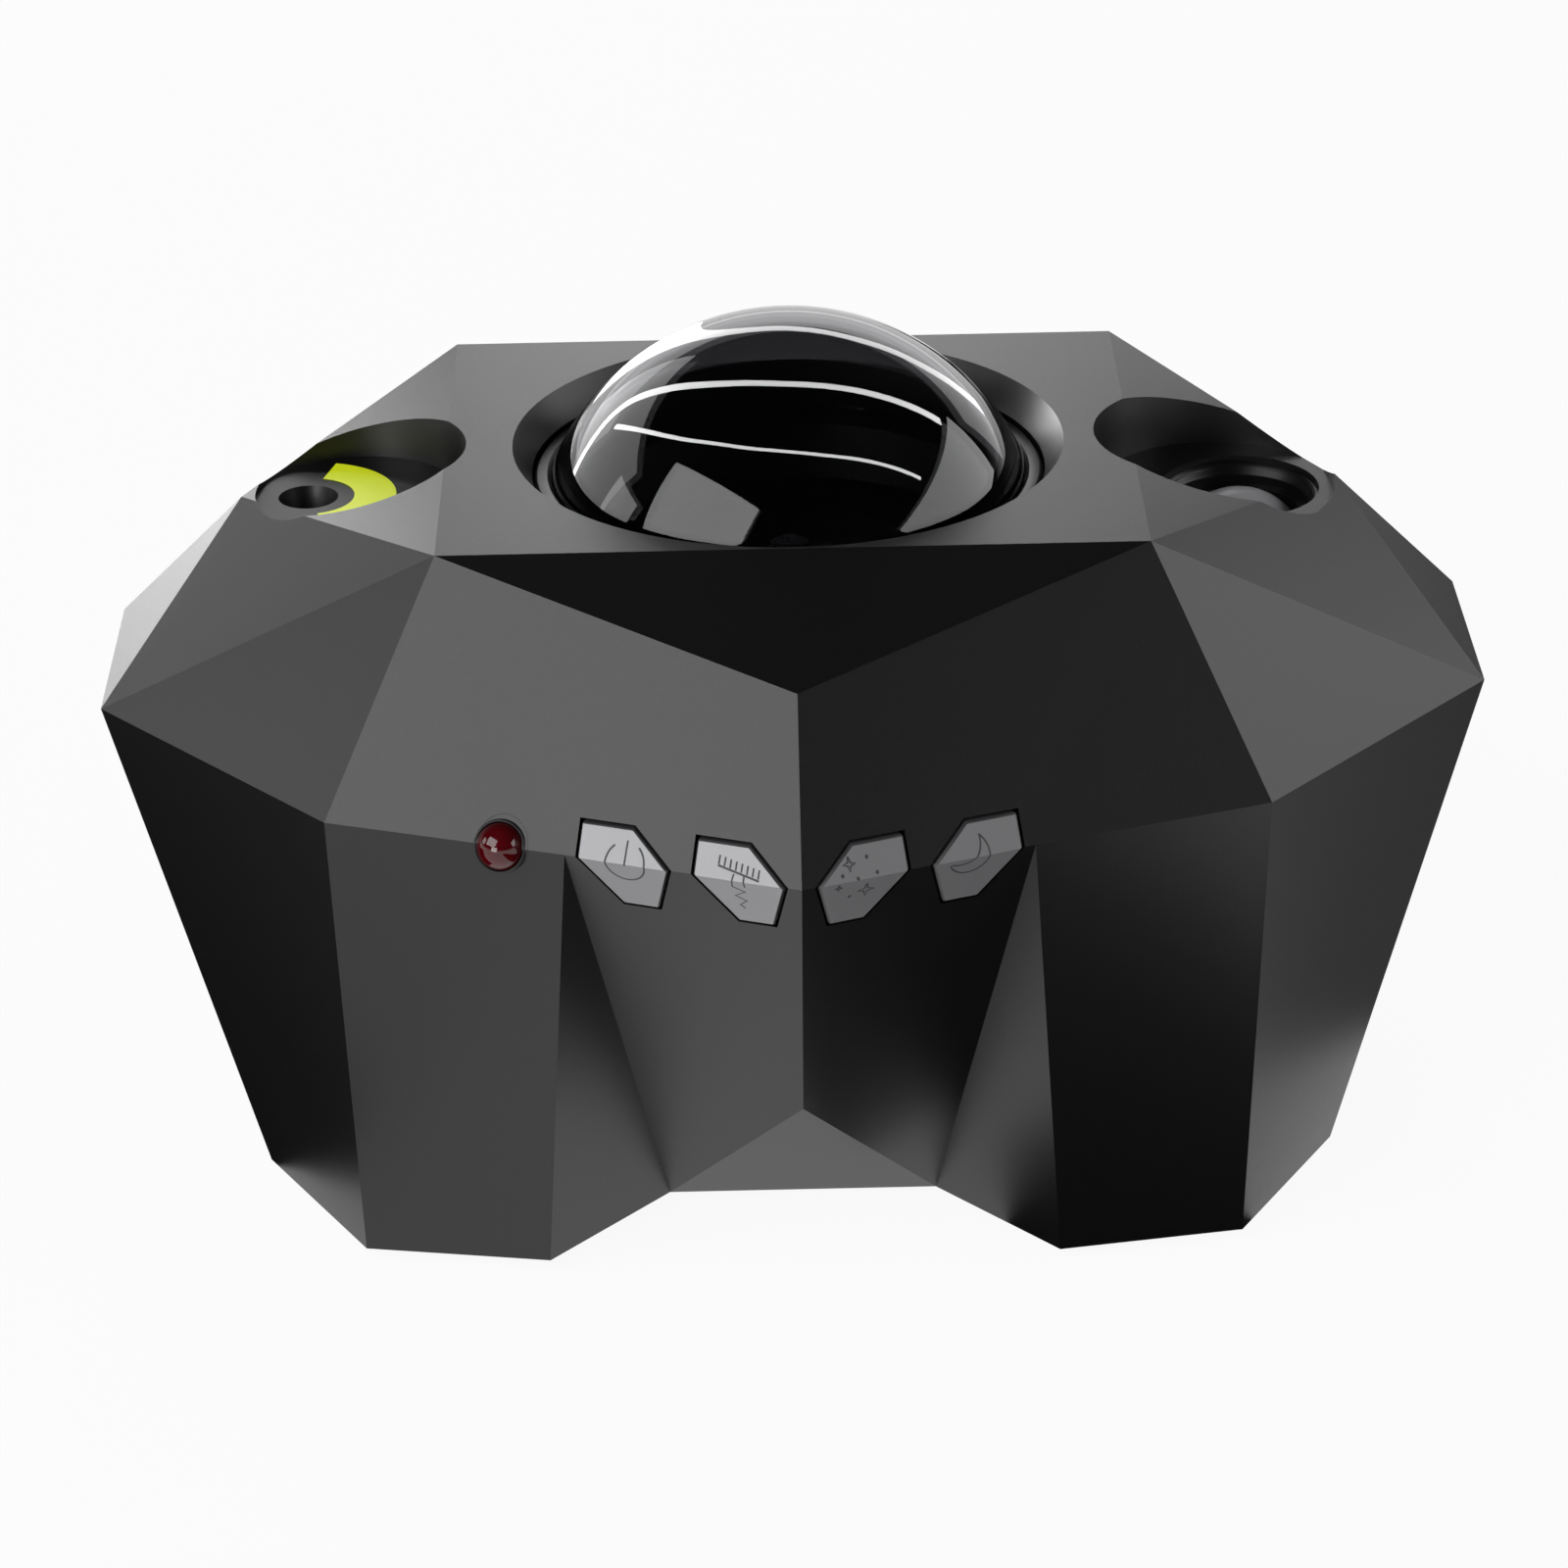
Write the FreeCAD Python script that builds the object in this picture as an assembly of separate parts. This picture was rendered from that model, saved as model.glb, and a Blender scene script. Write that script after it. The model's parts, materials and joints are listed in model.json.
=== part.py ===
import FreeCAD, Part
import math
import os
from FreeCAD import Rotation, Vector

# Planetarium projector: a faceted desk casing with a clear dome over a turning ripple lens,
# a star laser in the left recess and a moon lens in the right recess.
# Millimetres. +Z is up, the front faces -Y, and the origin is under the middle of the feet.

# Casing outline: half widths and half depths of its corners, and their heights over the base edge
CASE_HEIGHT = 112.0
WAIST_HEIGHT = 76.7
ROOF_HALF_WIDTH = 53.4
ROOF_HALF_DEPTH = 43.5
WING_TIP_X = 85.9
WING_DROP = 8.0
WING_TIP_HEIGHT = CASE_HEIGHT - WING_DROP
WAIST_HALF_WIDTH = 108.0
WAIST_SIDE_Y = 19.1
WAIST_OUTER_X = 70.6
WAIST_OUTER_Y = 60.9
WAIST_INNER_X = 34.6
WAIST_INNER_Y = 73.3
BOW_HALF_DEPTH = 86.4
BOW_TOP_Y = 70.9
BOW_FOOT_HEIGHT = 26.5
BASE_SIDE_X = 85.25
BASE_SIDE_Y = 27.5
BASE_OUTER_X = 68.4
BASE_OUTER_Y = 55.9
BASE_INNER_X = 39.6
BASE_INNER_Y = 60.7
BASE_NOTCH_X = 21.1
BASE_NOTCH_Y = 40.6

# Casing walls and joint
WALL = 2.4
LIP_WALL = 1.3
LIP_HEIGHT = 2.0
LIP_ROOT = 3.0
LIP_ROOT_SINK = 0.3
LIP_CLEARANCE = 0.15
FIT = 0.2
SLIDE_FIT = 0.3
RUNNING_FIT = 0.05
FACE_GAP = 0.3

# Dome recess and dome
DOME_SEAT_RADIUS = 40.2
DOME_RECESS_SPREAD = 2.9
DOME_RECESS_RADIUS = DOME_SEAT_RADIUS + DOME_RECESS_SPREAD
DOME_CONE_DEPTH = 4.6
DOME_SEAT_DEPTH = 9.0
DOME_SEAT_LEDGE = 5.4
DOME_SEAT_BORE = DOME_SEAT_RADIUS - DOME_SEAT_LEDGE
DOME_SEAT_WALL = 2.0
DOME_RING_ROOM = 3.3
DOME_RADIUS = DOME_SEAT_RADIUS - DOME_RING_ROOM
DOME_WALL = 2.6
DOME_RISE = 19.3
DOME_SHOULDER_DEPTH = 4.0
DOME_FLANGE_ROOM = 1.0
DOME_FLANGE_RADIUS = DOME_SEAT_RADIUS - DOME_FLANGE_ROOM
DOME_FLANGE = 1.3
RING_DEPTH = 4.9
SHROUD_TAPER = 4.0
SHROUD_RADIUS = DOME_SEAT_BORE - SHROUD_TAPER
SHROUD_DROP = 8.0
SHROUD_WALL = 1.4

# Laser recess on the left wing
LASER_RECESS_X = -67.3
LASER_RECESS_RADIUS = 16.3
LASER_RECESS_FLARE = 0.085
LASER_PAD_DROP = 0.3
LASER_PAD_HEIGHT = WING_TIP_HEIGHT - LASER_PAD_DROP
LASER_X = -75.4
LASER_MOUTH_RADIUS = 4.7
LASER_THROAT_RADIUS = 3.2
LASER_MOUTH_DEPTH = 5.0
LASER_BOSS_WALL = 2.0
WINDOW_RADIUS = 4.4
WINDOW_THICKNESS = 1.0
LABEL_INNER_RADIUS = 7.2
LABEL_OUTER_RADIUS = 13.8
LABEL_HALF_ANGLE = 75.0
LABEL_THICKNESS = 0.15

# Moon lens recess on the right wing
MOON_RECESS_X = 67.2
MOON_RECESS_RADIUS = 18.5
MOON_RECESS_FLARE = 0.09
MOON_PAD_DROP = 1.7
MOON_PAD_HEIGHT = WING_TIP_HEIGHT - MOON_PAD_DROP
MOON_X = 71.0
MOON_BORE_RADIUS = 12.4
BARREL_WALL = 1.4
BARREL_INSET = 0.9
BARREL_FLANGE = 1.6
BARREL_FLANGE_THICKNESS = 1.5
BARREL_LENGTH = 34.0
BARREL_STEP_RADIUS = 10.7
BARREL_STEP_DEPTH = 1.6
MOON_LENS_RADIUS = 9.4
MOON_LENS_EDGE = 2.2
MOON_LENS_CROWN = 3.0
MOON_LENS_DEPTH = 7.6
SLIDE_DEPTH = 20.0
SLIDE_THICKNESS = 1.2
CONDENSER_DEPTH = 25.0
CONDENSER_THICKNESS = 2.4
CONDENSER_CROWN = 2.6
SEAT_STEP = 0.8

# Buttons on the bow: a pocket's corners as (along the waist edge from its inner corner, above the waist)
POCKET_CORNERS = ((15.3, 5.0), (6.6, 5.0), (0.0, 0.0), (3.3, -8.9), (9.3, -8.9), (15.1, 0.0))
BOW_LAND = 2.1
BUTTON_PITCH = 18.1
BUTTON_GAP = 0.45
BUTTON_PROUD = 0.6
BUTTON_FLANGE_REACH = 1.0
BUTTON_FLANGE_DEPTH = 7.6
BUTTON_FLANGE = 1.0
BUTTON_STEM_RADIUS = 1.8
BUTTON_STEM = 1.2
BUTTON_TRAVEL = 0.7
BUTTON_MIDDLE_GAP = 0.6
SWITCH_SIDE = 6.0
SWITCH_BODY = 3.1
SWITCH_ACTUATOR = 0.9
SWITCH_ACTUATOR_RADIUS = 1.6
BUTTON_BOARD_THICKNESS = 1.2
BUTTON_BOARD_TOP = 7.0
BUTTON_BOARD_BOTTOM = -19.0
BUTTON_BOARD_MARGIN = 1.4
BUTTON_POST_RADIUS = 2.6
BUTTON_POST_DROP = 15.6

# Remote receiver on the waist edge beside the buttons
RECEIVER_OFFSET = 9.9
RECEIVER_RADIUS = 3.95
RECEIVER_RING_WALL = 0.45
RECEIVER_RING_LENGTH = 11.0
RECEIVER_RING_PROUD = 0.5
RECEIVER_DOME_PROUD = 2.2
RECEIVER_FLANGE = 1.4
RECEIVER_FLANGE_DEPTH = 7.0
RECEIVER_BOARD_WIDTH = 12.0
RECEIVER_BOARD_HEIGHT = 14.0
RECEIVER_BOARD_THICKNESS = 1.2

# Base cover, feet, posts and screws
COVER_THICKNESS = 2.6
COVER_RECESS = 0.4
COVER_CLEARANCE = 0.8
FOOT_X = 59.0
FOOT_Y = 47.5
FOOT_RADIUS = 6.0
FOOT_PROUD = 2.0
FOOT_SINK = 0.8
FOOT_CHAMFER = 0.6
POST_X = 71.5
POST_Y = 35.5
POST_RADIUS = 4.2
POST_BORE = 3.1
POST_THROAT = 1.7
POST_SEAT_DEPTH = 14.0
RIB = 1.6
COVER_BOSS_X = 45.5
COVER_BOSS_Y = 50.5
COVER_BOSS_SIDE_X = 78.6
COVER_BOSS_RADIUS = 3.4
COVER_BOSS_HEIGHT = 11.0
SCREW_RADIUS = 1.5
SCREW_PILOT = 1.3
SCREW_HEAD_RADIUS = 2.7
SCREW_HEAD = 1.6
SCREW_BITE = 8.0
VENT_COUNT = 7
VENT_PITCH = 5.0
VENT_WIDTH = 2.0
VENT_LENGTH = 30.0

# Chassis plate hung from the upper shell
CHASSIS_DROP = 52.0
CHASSIS_HEIGHT = CASE_HEIGHT - CHASSIS_DROP
CHASSIS_THICKNESS = 2.4
CHASSIS_HALF_WIDTH = 90.0
CHASSIS_HALF_DEPTH = 40.0
CHASSIS_CORNER = 26.0
CHASSIS_BOSS_X = 47.0
CHASSIS_BOSS_Y = 33.0
CHASSIS_BOSS_RADIUS = 3.4

# Central light engine
GEAR_MODULE = 0.8
GEAR_BACKLASH = 0.2
PRESSURE_ANGLE = 20.0
DEDENDUM = 1.25
UNDERCUT_TEETH = 17
RIPPLE_TEETH = 72
PINION_TEETH = 12
RIPPLE_GEAR_DROP = 24.0
RIPPLE_GEAR_HEIGHT = CASE_HEIGHT - RIPPLE_GEAR_DROP
RIPPLE_GEAR_THICKNESS = 4.0
RIPPLE_RIM = 2.2
RIPPLE_SEAT = 1.2
RIPPLE_DISC_THICKNESS = 2.0
RIPPLE_WAVE_PITCH = 5.4
RIPPLE_WAVE_HEIGHT = 0.8
RIPPLE_HUB_RADIUS = 4.0
SHAFT_RADIUS = 1.5
SHAFT_SINK = 5.0
CLIP_RADIUS = 3.0
CLIP_THICKNESS = 0.8
HOUSING_RADIUS = 26.0
HOUSING_WALL = 2.0
HOUSING_FLANGE_RADIUS = 30.0
HOUSING_FLANGE = 2.0
SPIDER_ARMS = 3
SPIDER_WIDTH = 3.0
SPIDER_THICKNESS = 3.0
SPIDER_HUB_RADIUS = 4.5
MOTOR_RADIUS = 7.0
MOTOR_LENGTH = 16.0
MOTOR_SHAFT_RADIUS = 1.0
MOTOR_EAR = 1.8
MOTOR_CHEEK = 7.8
PINION_THICKNESS = 5.0
HEAT_SINK_BASE = 3.0
HEAT_SINK_FINS = 7
HEAT_SINK_FIN = 1.4
HEAT_SINK_SIDE = 32.0
HEAT_SINK_DROP = 12.0
LED_BOARD_THICKNESS = 1.6
LED_SIDE = 3.5
LED_HEIGHT = 1.0
LED_RING_RADIUS = 7.0
LED_COUNT = 4
LED_LENS_RADIUS = 4.2
LED_LENS_HEIGHT = 4.6

# Star laser engine
GRATING_MODULE = 0.6
GRATING_TEETH = 40
GRATING_PINION_TEETH = 12
GRATING_GEAR_DROP = 19.7
GRATING_GEAR_HEIGHT = LASER_PAD_HEIGHT - GRATING_GEAR_DROP
GRATING_GEAR_THICKNESS = 3.0
GRATING_COLLAR_RADIUS = 5.4
GRATING_COLLAR_HEIGHT = 3.4
GRATING_FILM_RADIUS = 4.2
GRATING_FILM_THICKNESS = 0.4
GRATING_TUBE_RADIUS = 7.4
GRATING_MOTOR_RADIUS = 5.0
GRATING_MOTOR_LENGTH = 12.0
LASER_BODY_RADIUS = 4.5
LASER_BODY_LENGTH = 22.0
LASER_TIP_GAP = 1.0
HOLDER_WALL = 2.6
HOLDER_FOOT_RADIUS = 11.0
HOLDER_FOOT = 2.0

# Main board and power inlet
BOARD_WIDTH = 76.0
BOARD_DEPTH = 48.0
BOARD_THICKNESS = 1.6
BOARD_STANDOFF = 7.0
BOARD_STANDOFF_RADIUS = 3.0
BOARD_HOLE_INSET = 4.0
CAPACITOR_RADIUS = 4.0
CAPACITOR_HEIGHT = 8.0
# Parts on the main board: x, y, width, depth and height
BOARD_BLOCKS = ((-8.0, -8.0, 12.0, 12.0, 1.4), (-24.0, 10.0, 12.0, 8.0, 5.0), (15.0, -12.0, 14.0, 8.0, 3.0))
CAPACITORS = ((16.0, 10.0), (26.0, 10.0))
SOCKET_HEIGHT = 30.0
SOCKET_OFFSET = 15.0
SOCKET_BARREL_RADIUS = 4.0
SOCKET_BARREL_WALL = 1.0
SOCKET_DEPTH = 10.0
SOCKET_LENGTH = 14.0
SOCKET_FLANGE_RADIUS = 5.6
SOCKET_FLANGE = 1.0
SOCKET_SPOT_RADIUS = 6.4
SOCKET_PIN_RADIUS = 1.0
SOCKET_PIN_INSET = 1.0
SOCKET_FACE_SINK = 1.6

# Worked out from the sizes above
BASE_Z = FOOT_PROUD
WAIST_Z = BASE_Z + WAIST_HEIGHT
ROOF_Z = BASE_Z + CASE_HEIGHT
SPAN = 400.0
CENTRE_SHARE = 0.3
UP = Vector(0, 0, 1)
NODES = {}


def node(name, shape):
    """Writes one sub-part to its own file."""
    NODES[name] = shape
    shape.exportStep(os.path.join("parts", name + ".step"))


def cylinder(radius, low, high, x=0.0, y=0.0):
    return Part.makeCylinder(radius, high - low, Vector(x, y, low))


def tube(outer, inner, low, high, x=0.0, y=0.0):
    return cylinder(outer, low, high, x, y).cut(cylinder(inner, low - 1, high + 1, x, y))


def cone(low_radius, high_radius, low, high, x=0.0, y=0.0):
    if abs(low_radius - high_radius) < 1e-6:
        return cylinder(low_radius, low, high, x, y)
    return Part.makeCone(low_radius, high_radius, high - low, Vector(x, y, low))


def block(x_low, x_high, y_low, y_high, z_low, z_high):
    size = (x_high - x_low, y_high - y_low, z_high - z_low)
    return Part.makeBox(*size, Vector(x_low, y_low, z_low))


def slab(low, high):
    return block(-SPAN, SPAN, -SPAN, SPAN, low, high)


def fused(shapes):
    first, *rest = shapes
    return first.multiFuse(rest).removeSplitter() if rest else first


def flat_face(points):
    return Part.Face(Part.makePolygon(list(points) + [points[0]]))


def prism(points, direction):
    return flat_face(points).extrude(direction)


def crowned_disc(radius, low, edge, crown, x=0.0, y=0.0):
    """A round lens: flat below, with a straight edge and a crown on top."""
    ball_radius = (radius * radius + crown * crown) / (2 * crown)
    disc = cylinder(radius, low, low + edge + crown, x, y)
    centre = Vector(x, y, low + edge + crown - ball_radius)
    return disc.common(Part.makeSphere(ball_radius, centre))


def in_plane(a, b, c, x=None, y=None, z=None):
    """The point of the plane through a, b and c that has the two coordinates given."""
    normal = (b - a).cross(c - a)
    if x is None:
        x = a.x - (normal.y * (y - a.y) + normal.z * (z - a.z)) / normal.x
    elif y is None:
        y = a.y - (normal.x * (x - a.x) + normal.z * (z - a.z)) / normal.y
    else:
        z = a.z - (normal.x * (x - a.x) + normal.y * (y - a.y)) / normal.z
    return Vector(x, y, z)


def casing_corners():
    """Every corner of the casing, by its name and the signs of its x and y."""
    roof = Vector(ROOF_HALF_WIDTH, ROOF_HALF_DEPTH, ROOF_Z)
    inner = Vector(WAIST_INNER_X, WAIST_INNER_Y, WAIST_Z)
    bow = Vector(0, BOW_HALF_DEPTH, WAIST_Z)
    notch = Vector(BASE_NOTCH_X, BASE_NOTCH_Y, BASE_Z)
    quarter = {
        "roof": roof,
        "wing": Vector(WING_TIP_X, 0, BASE_Z + WING_TIP_HEIGHT),
        "side": Vector(WAIST_HALF_WIDTH, WAIST_SIDE_Y, WAIST_Z),
        "outer": Vector(WAIST_OUTER_X, WAIST_OUTER_Y, WAIST_Z),
        "inner": inner,
        "bow": bow,
        "bow_top": in_plane(roof, inner, bow, x=0, y=BOW_TOP_Y),
        "base_side": Vector(BASE_SIDE_X, BASE_SIDE_Y, BASE_Z),
        "base_outer": Vector(BASE_OUTER_X, BASE_OUTER_Y, BASE_Z),
        "base_inner": Vector(BASE_INNER_X, BASE_INNER_Y, BASE_Z),
        "notch": notch,
        "bow_foot": in_plane(inner, bow, notch, x=0, z=BASE_Z + BOW_FOOT_HEIGHT),
    }
    corners = {}
    for name, at in quarter.items():
        for sx in (1, -1):
            for sy in (1, -1):
                corners[name, sx, sy] = Vector(at.x * sx, at.y * sy, at.z)
    return corners


def upper_faces():
    """The facets above the waist, each as a list of corner keys."""
    faces = [[("roof", 1, 1), ("roof", -1, 1), ("roof", -1, -1), ("roof", 1, -1)]]
    for sx in (1, -1):
        faces.append([("roof", sx, 1), ("roof", sx, -1), ("wing", sx, 1)])
        faces.append([("wing", sx, 1), ("side", sx, 1), ("side", sx, -1)])
    for sy in (1, -1):
        faces.append([("roof", 1, sy), ("roof", -1, sy), ("bow_top", 1, sy)])
    for sx in (1, -1):
        for sy in (1, -1):
            faces.append([("roof", sx, sy), ("wing", sx, 1), ("side", sx, sy)])
            faces.append([("roof", sx, sy), ("side", sx, sy), ("outer", sx, sy)])
            faces.append([("roof", sx, sy), ("outer", sx, sy), ("inner", sx, sy)])
            bow = [("roof", sx, sy), ("bow_top", 1, sy), ("bow", 1, sy), ("inner", sx, sy)]
            faces.append(bow)
    return faces


def lower_faces():
    """The facets below the waist, each as a list of corner keys."""
    faces = []
    for sx in (1, -1):
        side = [("side", sx, 1), ("side", sx, -1), ("base_side", sx, -1), ("base_side", sx, 1)]
        faces.append(side)
        for sy in (1, -1):
            pair = ("side", "outer", "base_outer", "base_side")
            faces.append([(name, sx, sy) for name in pair])
            pair = ("outer", "inner", "base_inner", "base_outer")
            faces.append([(name, sx, sy) for name in pair])
            faces.append([("inner", sx, sy), ("notch", sx, sy), ("base_inner", sx, sy)])
            bow = [("inner", sx, sy), ("bow", 1, sy), ("bow_foot", 1, sy), ("notch", sx, sy)]
            faces.append(bow)
    for sy in (1, -1):
        faces.append([("bow_foot", 1, sy), ("notch", 1, sy), ("notch", -1, sy)])
    return faces


def ring_keys(names):
    """Corner keys once round the casing, from a quarter's names in order from the side inwards."""
    keys = [(name, 1, 1) for name in names]
    keys += [(name, -1, 1) for name in reversed(names)]
    keys += [(name, -1, -1) for name in names]
    keys += [(name, 1, -1) for name in reversed(names)]
    return keys


WAIST_RING = ring_keys(("side", "outer", "inner", "bow"))
BASE_RING = ring_keys(("base_side", "base_outer", "base_inner", "notch"))
LEVEL_CORNERS = ("side", "outer", "inner", "bow", "base_side", "base_outer", "base_inner", "notch")


def distinct(points):
    kept = []
    for point in points:
        if not kept or point.distanceToPoint(kept[-1]) > 1e-6:
            kept.append(point)
    if kept[0].distanceToPoint(kept[-1]) < 1e-6:
        kept.pop()
    return kept


def inset_corner(key, corners, faces, depth):
    """A corner moved inwards so that each facet that meets there moves in by the depth.

    A corner of the waist or base stays at its own height.
    """
    at = corners[key]
    level = key[0] in LEVEL_CORNERS
    rows = []
    for face in faces:
        points = [corners[k] for k in face]
        here = [i for i, p in enumerate(points) if p.distanceToPoint(at) < 1e-6]
        if not here:
            continue
        before = points[here[0] - 1] - at
        after = points[(here[0] + 1) % len(points)] - at
        normal = before.cross(after).normalize()
        middle = sum(points, Vector()) * (1 / len(points))
        centre = Vector(middle.x * CENTRE_SHARE, middle.y * CENTRE_SHARE, WAIST_Z)
        rows.append(normal if normal.dot(centre - at) > 0 else normal * -1)
    free = (0, 1) if level else (0, 1, 2)
    entries = [[float(i == j) for j in range(4)] for i in range(4)]
    target = [0.0, 0.0, 0.0]
    for i in free:
        target[i] = sum(n[i] for n in rows) * depth
        for j in free:
            entries[i][j] = sum(n[i] * n[j] for n in rows)
    matrix = FreeCAD.Matrix(*[value for row in entries for value in row])
    step = matrix.inverse().multVec(Vector(*target))
    if abs(at.x) < 1e-6:
        step.x = 0
    if abs(at.y) < 1e-6:
        step.y = 0
    return at + step


def facet(points):
    """A flat facet, or a ruled one where four corners don't lie in one plane."""
    points = distinct(points)
    if len(points) == 4:
        normal = (points[1] - points[0]).cross(points[2] - points[0]).normalize()
        if abs(normal.dot(points[3] - points[0])) > 1e-5:
            top = Part.LineSegment(points[0], points[1]).toShape()
            foot = Part.LineSegment(points[3], points[2]).toShape()
            return Part.makeRuledSurface(top, foot)
    return flat_face(points)


def hull(faces, rings, depth):
    """A closed solid from facets and flat end rings, moved in by the depth."""
    corners = casing_corners()
    everywhere = upper_faces() + lower_faces()
    if depth:
        outer = corners
        corners = {key: inset_corner(key, outer, everywhere, depth) for key in outer}
    sides = [facet([corners[key] for key in face]) for face in faces]
    sides += [flat_face(distinct([corners[key] for key in ring])) for ring in rings]
    shell = Part.makeShell(sides)
    shell.sewShape()
    solid = Part.makeSolid(shell)
    if solid.Volume < 0:
        solid.reverse()
    return solid


def upper_hull(depth=0.0):
    return hull(upper_faces(), [WAIST_RING], depth)


def lower_hull(depth=0.0):
    return hull(lower_faces(), [WAIST_RING, BASE_RING], depth)


class EdgeFrame:
    """A frame on a waist edge: along it, up, and level inwards, square to it."""

    def __init__(self, start, end):
        self.start = start
        self.along = (end - start).normalize()
        self.inward = self.along.cross(UP)
        if self.inward.dot(start) > 0:
            self.inward = self.inward * -1

    def at(self, along, up, depth):
        return self.start + self.along * along + UP * up + self.inward * depth

    def prism(self, corners, low, high):
        points = [self.at(s, z, low) for s, z in corners]
        return prism(points, self.inward * (high - low))

    def rod(self, radius, along, up, low, high):
        return Part.makeCylinder(radius, high - low, self.at(along, up, low), self.inward)


def bow_frame(sx):
    corners = casing_corners()
    return EdgeFrame(corners["bow", 1, -1], corners["inner", sx, -1])


def receiver_frame():
    corners = casing_corners()
    return EdgeFrame(corners["inner", -1, -1], corners["outer", -1, -1])


def grown_outline(corners, reach):
    """An outline with each side moved out by the reach, or in where it is negative."""
    face = flat_face([Vector(s, z, 0) for s, z in corners])
    wire = face.makeOffset2D(reach, 2).OuterWire if reach else face.OuterWire
    return [(v.Point.x, v.Point.y) for v in wire.OrderedVertexes]


def pocket_start():
    """Where the first pocket starts along the edge: past its land, and further out where a
    sharper bow would bring the two middle switches together."""
    frame = bow_frame(1)
    near_corner = (BUTTON_MIDDLE_GAP - BUTTON_BOARD_START * frame.inward.x) / frame.along.x
    switch_inset = max(s for s, z in POCKET_CORNERS) / 2 - SWITCH_SIDE / 2
    return max(BOW_LAND, near_corner - switch_inset)


def pocket_outline(place, reach=0.0):
    start = pocket_start() + place * BUTTON_PITCH
    return grown_outline([(s + start, z) for s, z in POCKET_CORNERS], reach)


def pocket_centre(place):
    up = [z for s, z in POCKET_CORNERS]
    along = pocket_start() + place * BUTTON_PITCH + max(s for s, z in POCKET_CORNERS) / 2
    return along, (min(up) + max(up)) / 2


# The four buttons: name, side of the bow, and place along the edge from the bow
BUTTONS = (("power", -1, 1), ("light", -1, 0), ("star", 1, 0), ("moon", 1, 1))

BUTTON_BACK = BUTTON_FLANGE_DEPTH + BUTTON_FLANGE
STEM_END = BUTTON_BACK + BUTTON_STEM
ACTUATOR_START = STEM_END + BUTTON_TRAVEL + RUNNING_FIT
SWITCH_START = ACTUATOR_START + SWITCH_ACTUATOR
BUTTON_BOARD_START = SWITCH_START + SWITCH_BODY


def button_pockets():
    """Everything that the buttons pass through, cut from both shells."""
    cuts = []
    for name, sx, place in BUTTONS:
        frame = bow_frame(sx)
        cuts.append(frame.prism(pocket_outline(place), -WALL - BUTTON_PROUD, BUTTON_BACK))
    return fused(cuts)


def beside_bow(sx):
    """The space on one side of the casing's middle plane, clear of it."""
    low, high = sorted((sx * BUTTON_MIDDLE_GAP, sx * SPAN))
    return block(low, high, -SPAN, SPAN, 0, ROOF_Z)


def make_button(name, sx, place):
    frame = bow_frame(sx)
    body = frame.prism(pocket_outline(place, -BUTTON_GAP), -WALL - BUTTON_PROUD, BUTTON_BACK)
    skin = upper_hull().fuse(lower_hull())
    skin.translate(frame.inward * -BUTTON_PROUD)
    body = body.common(skin)
    reach = pocket_outline(place, BUTTON_FLANGE_REACH)
    flange = frame.prism(reach, BUTTON_FLANGE_DEPTH, BUTTON_BACK)
    along, up = pocket_centre(place)
    stem = frame.rod(BUTTON_STEM_RADIUS, along, up, BUTTON_BACK, STEM_END)
    node(name + "_button", fused([body, flange, stem]).common(beside_bow(sx)))


def make_switch(name, sx, place):
    frame = bow_frame(sx)
    along, up = pocket_centre(place)
    half = SWITCH_SIDE / 2
    square = [(along - half, up - half), (along + half, up - half)]
    square += [(along + half, up + half), (along - half, up + half)]
    body = frame.prism(square, SWITCH_START, BUTTON_BOARD_START)
    top = frame.rod(SWITCH_ACTUATOR_RADIUS, along, up, ACTUATOR_START, SWITCH_START)
    node(name + "_switch", fused([body, top]))


def button_board_span():
    """Where a button board starts and ends along the edge, clear of the other side's board."""
    frame = bow_frame(1)
    back = BUTTON_BOARD_START + BUTTON_BOARD_THICKNESS
    start = (BUTTON_MIDDLE_GAP - back * frame.inward.x) / frame.along.x
    return start, pocket_start() + max(s for s, z in POCKET_CORNERS) + BUTTON_PITCH


def button_post_places():
    low, high = button_board_span()
    inset = BUTTON_POST_RADIUS + BUTTON_BOARD_MARGIN
    return [(low + inset, -BUTTON_POST_DROP), (high - inset, -BUTTON_POST_DROP)]


def make_button_board(name, sx):
    frame = bow_frame(sx)
    low, high = button_board_span()
    outline = [(low, BUTTON_BOARD_BOTTOM), (high, BUTTON_BOARD_BOTTOM)]
    outline += [(high, BUTTON_BOARD_TOP), (low, BUTTON_BOARD_TOP)]
    back = BUTTON_BOARD_START + BUTTON_BOARD_THICKNESS
    board = frame.prism(outline, BUTTON_BOARD_START, back)
    for along, up in button_post_places():
        board = board.cut(frame.rod(SCREW_RADIUS + FIT, along, up, SWITCH_START, back + 1))
    node(name, board.common(beside_bow(sx)))


def button_posts():
    """Posts on the lower shell's wall that the two button boards are screwed to."""
    posts = []
    for sx in (-1, 1):
        frame = bow_frame(sx)
        for along, up in button_post_places():
            posts.append(frame.rod(BUTTON_POST_RADIUS, along, up, -WALL, BUTTON_BOARD_START))
    return posts


def button_pilots():
    holes = []
    for sx in (-1, 1):
        frame = bow_frame(sx)
        for along, up in button_post_places():
            start = BUTTON_BOARD_START - SCREW_BITE / 2
            holes.append(frame.rod(SCREW_PILOT, along, up, start, BUTTON_BOARD_START + 1))
    return holes


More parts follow.
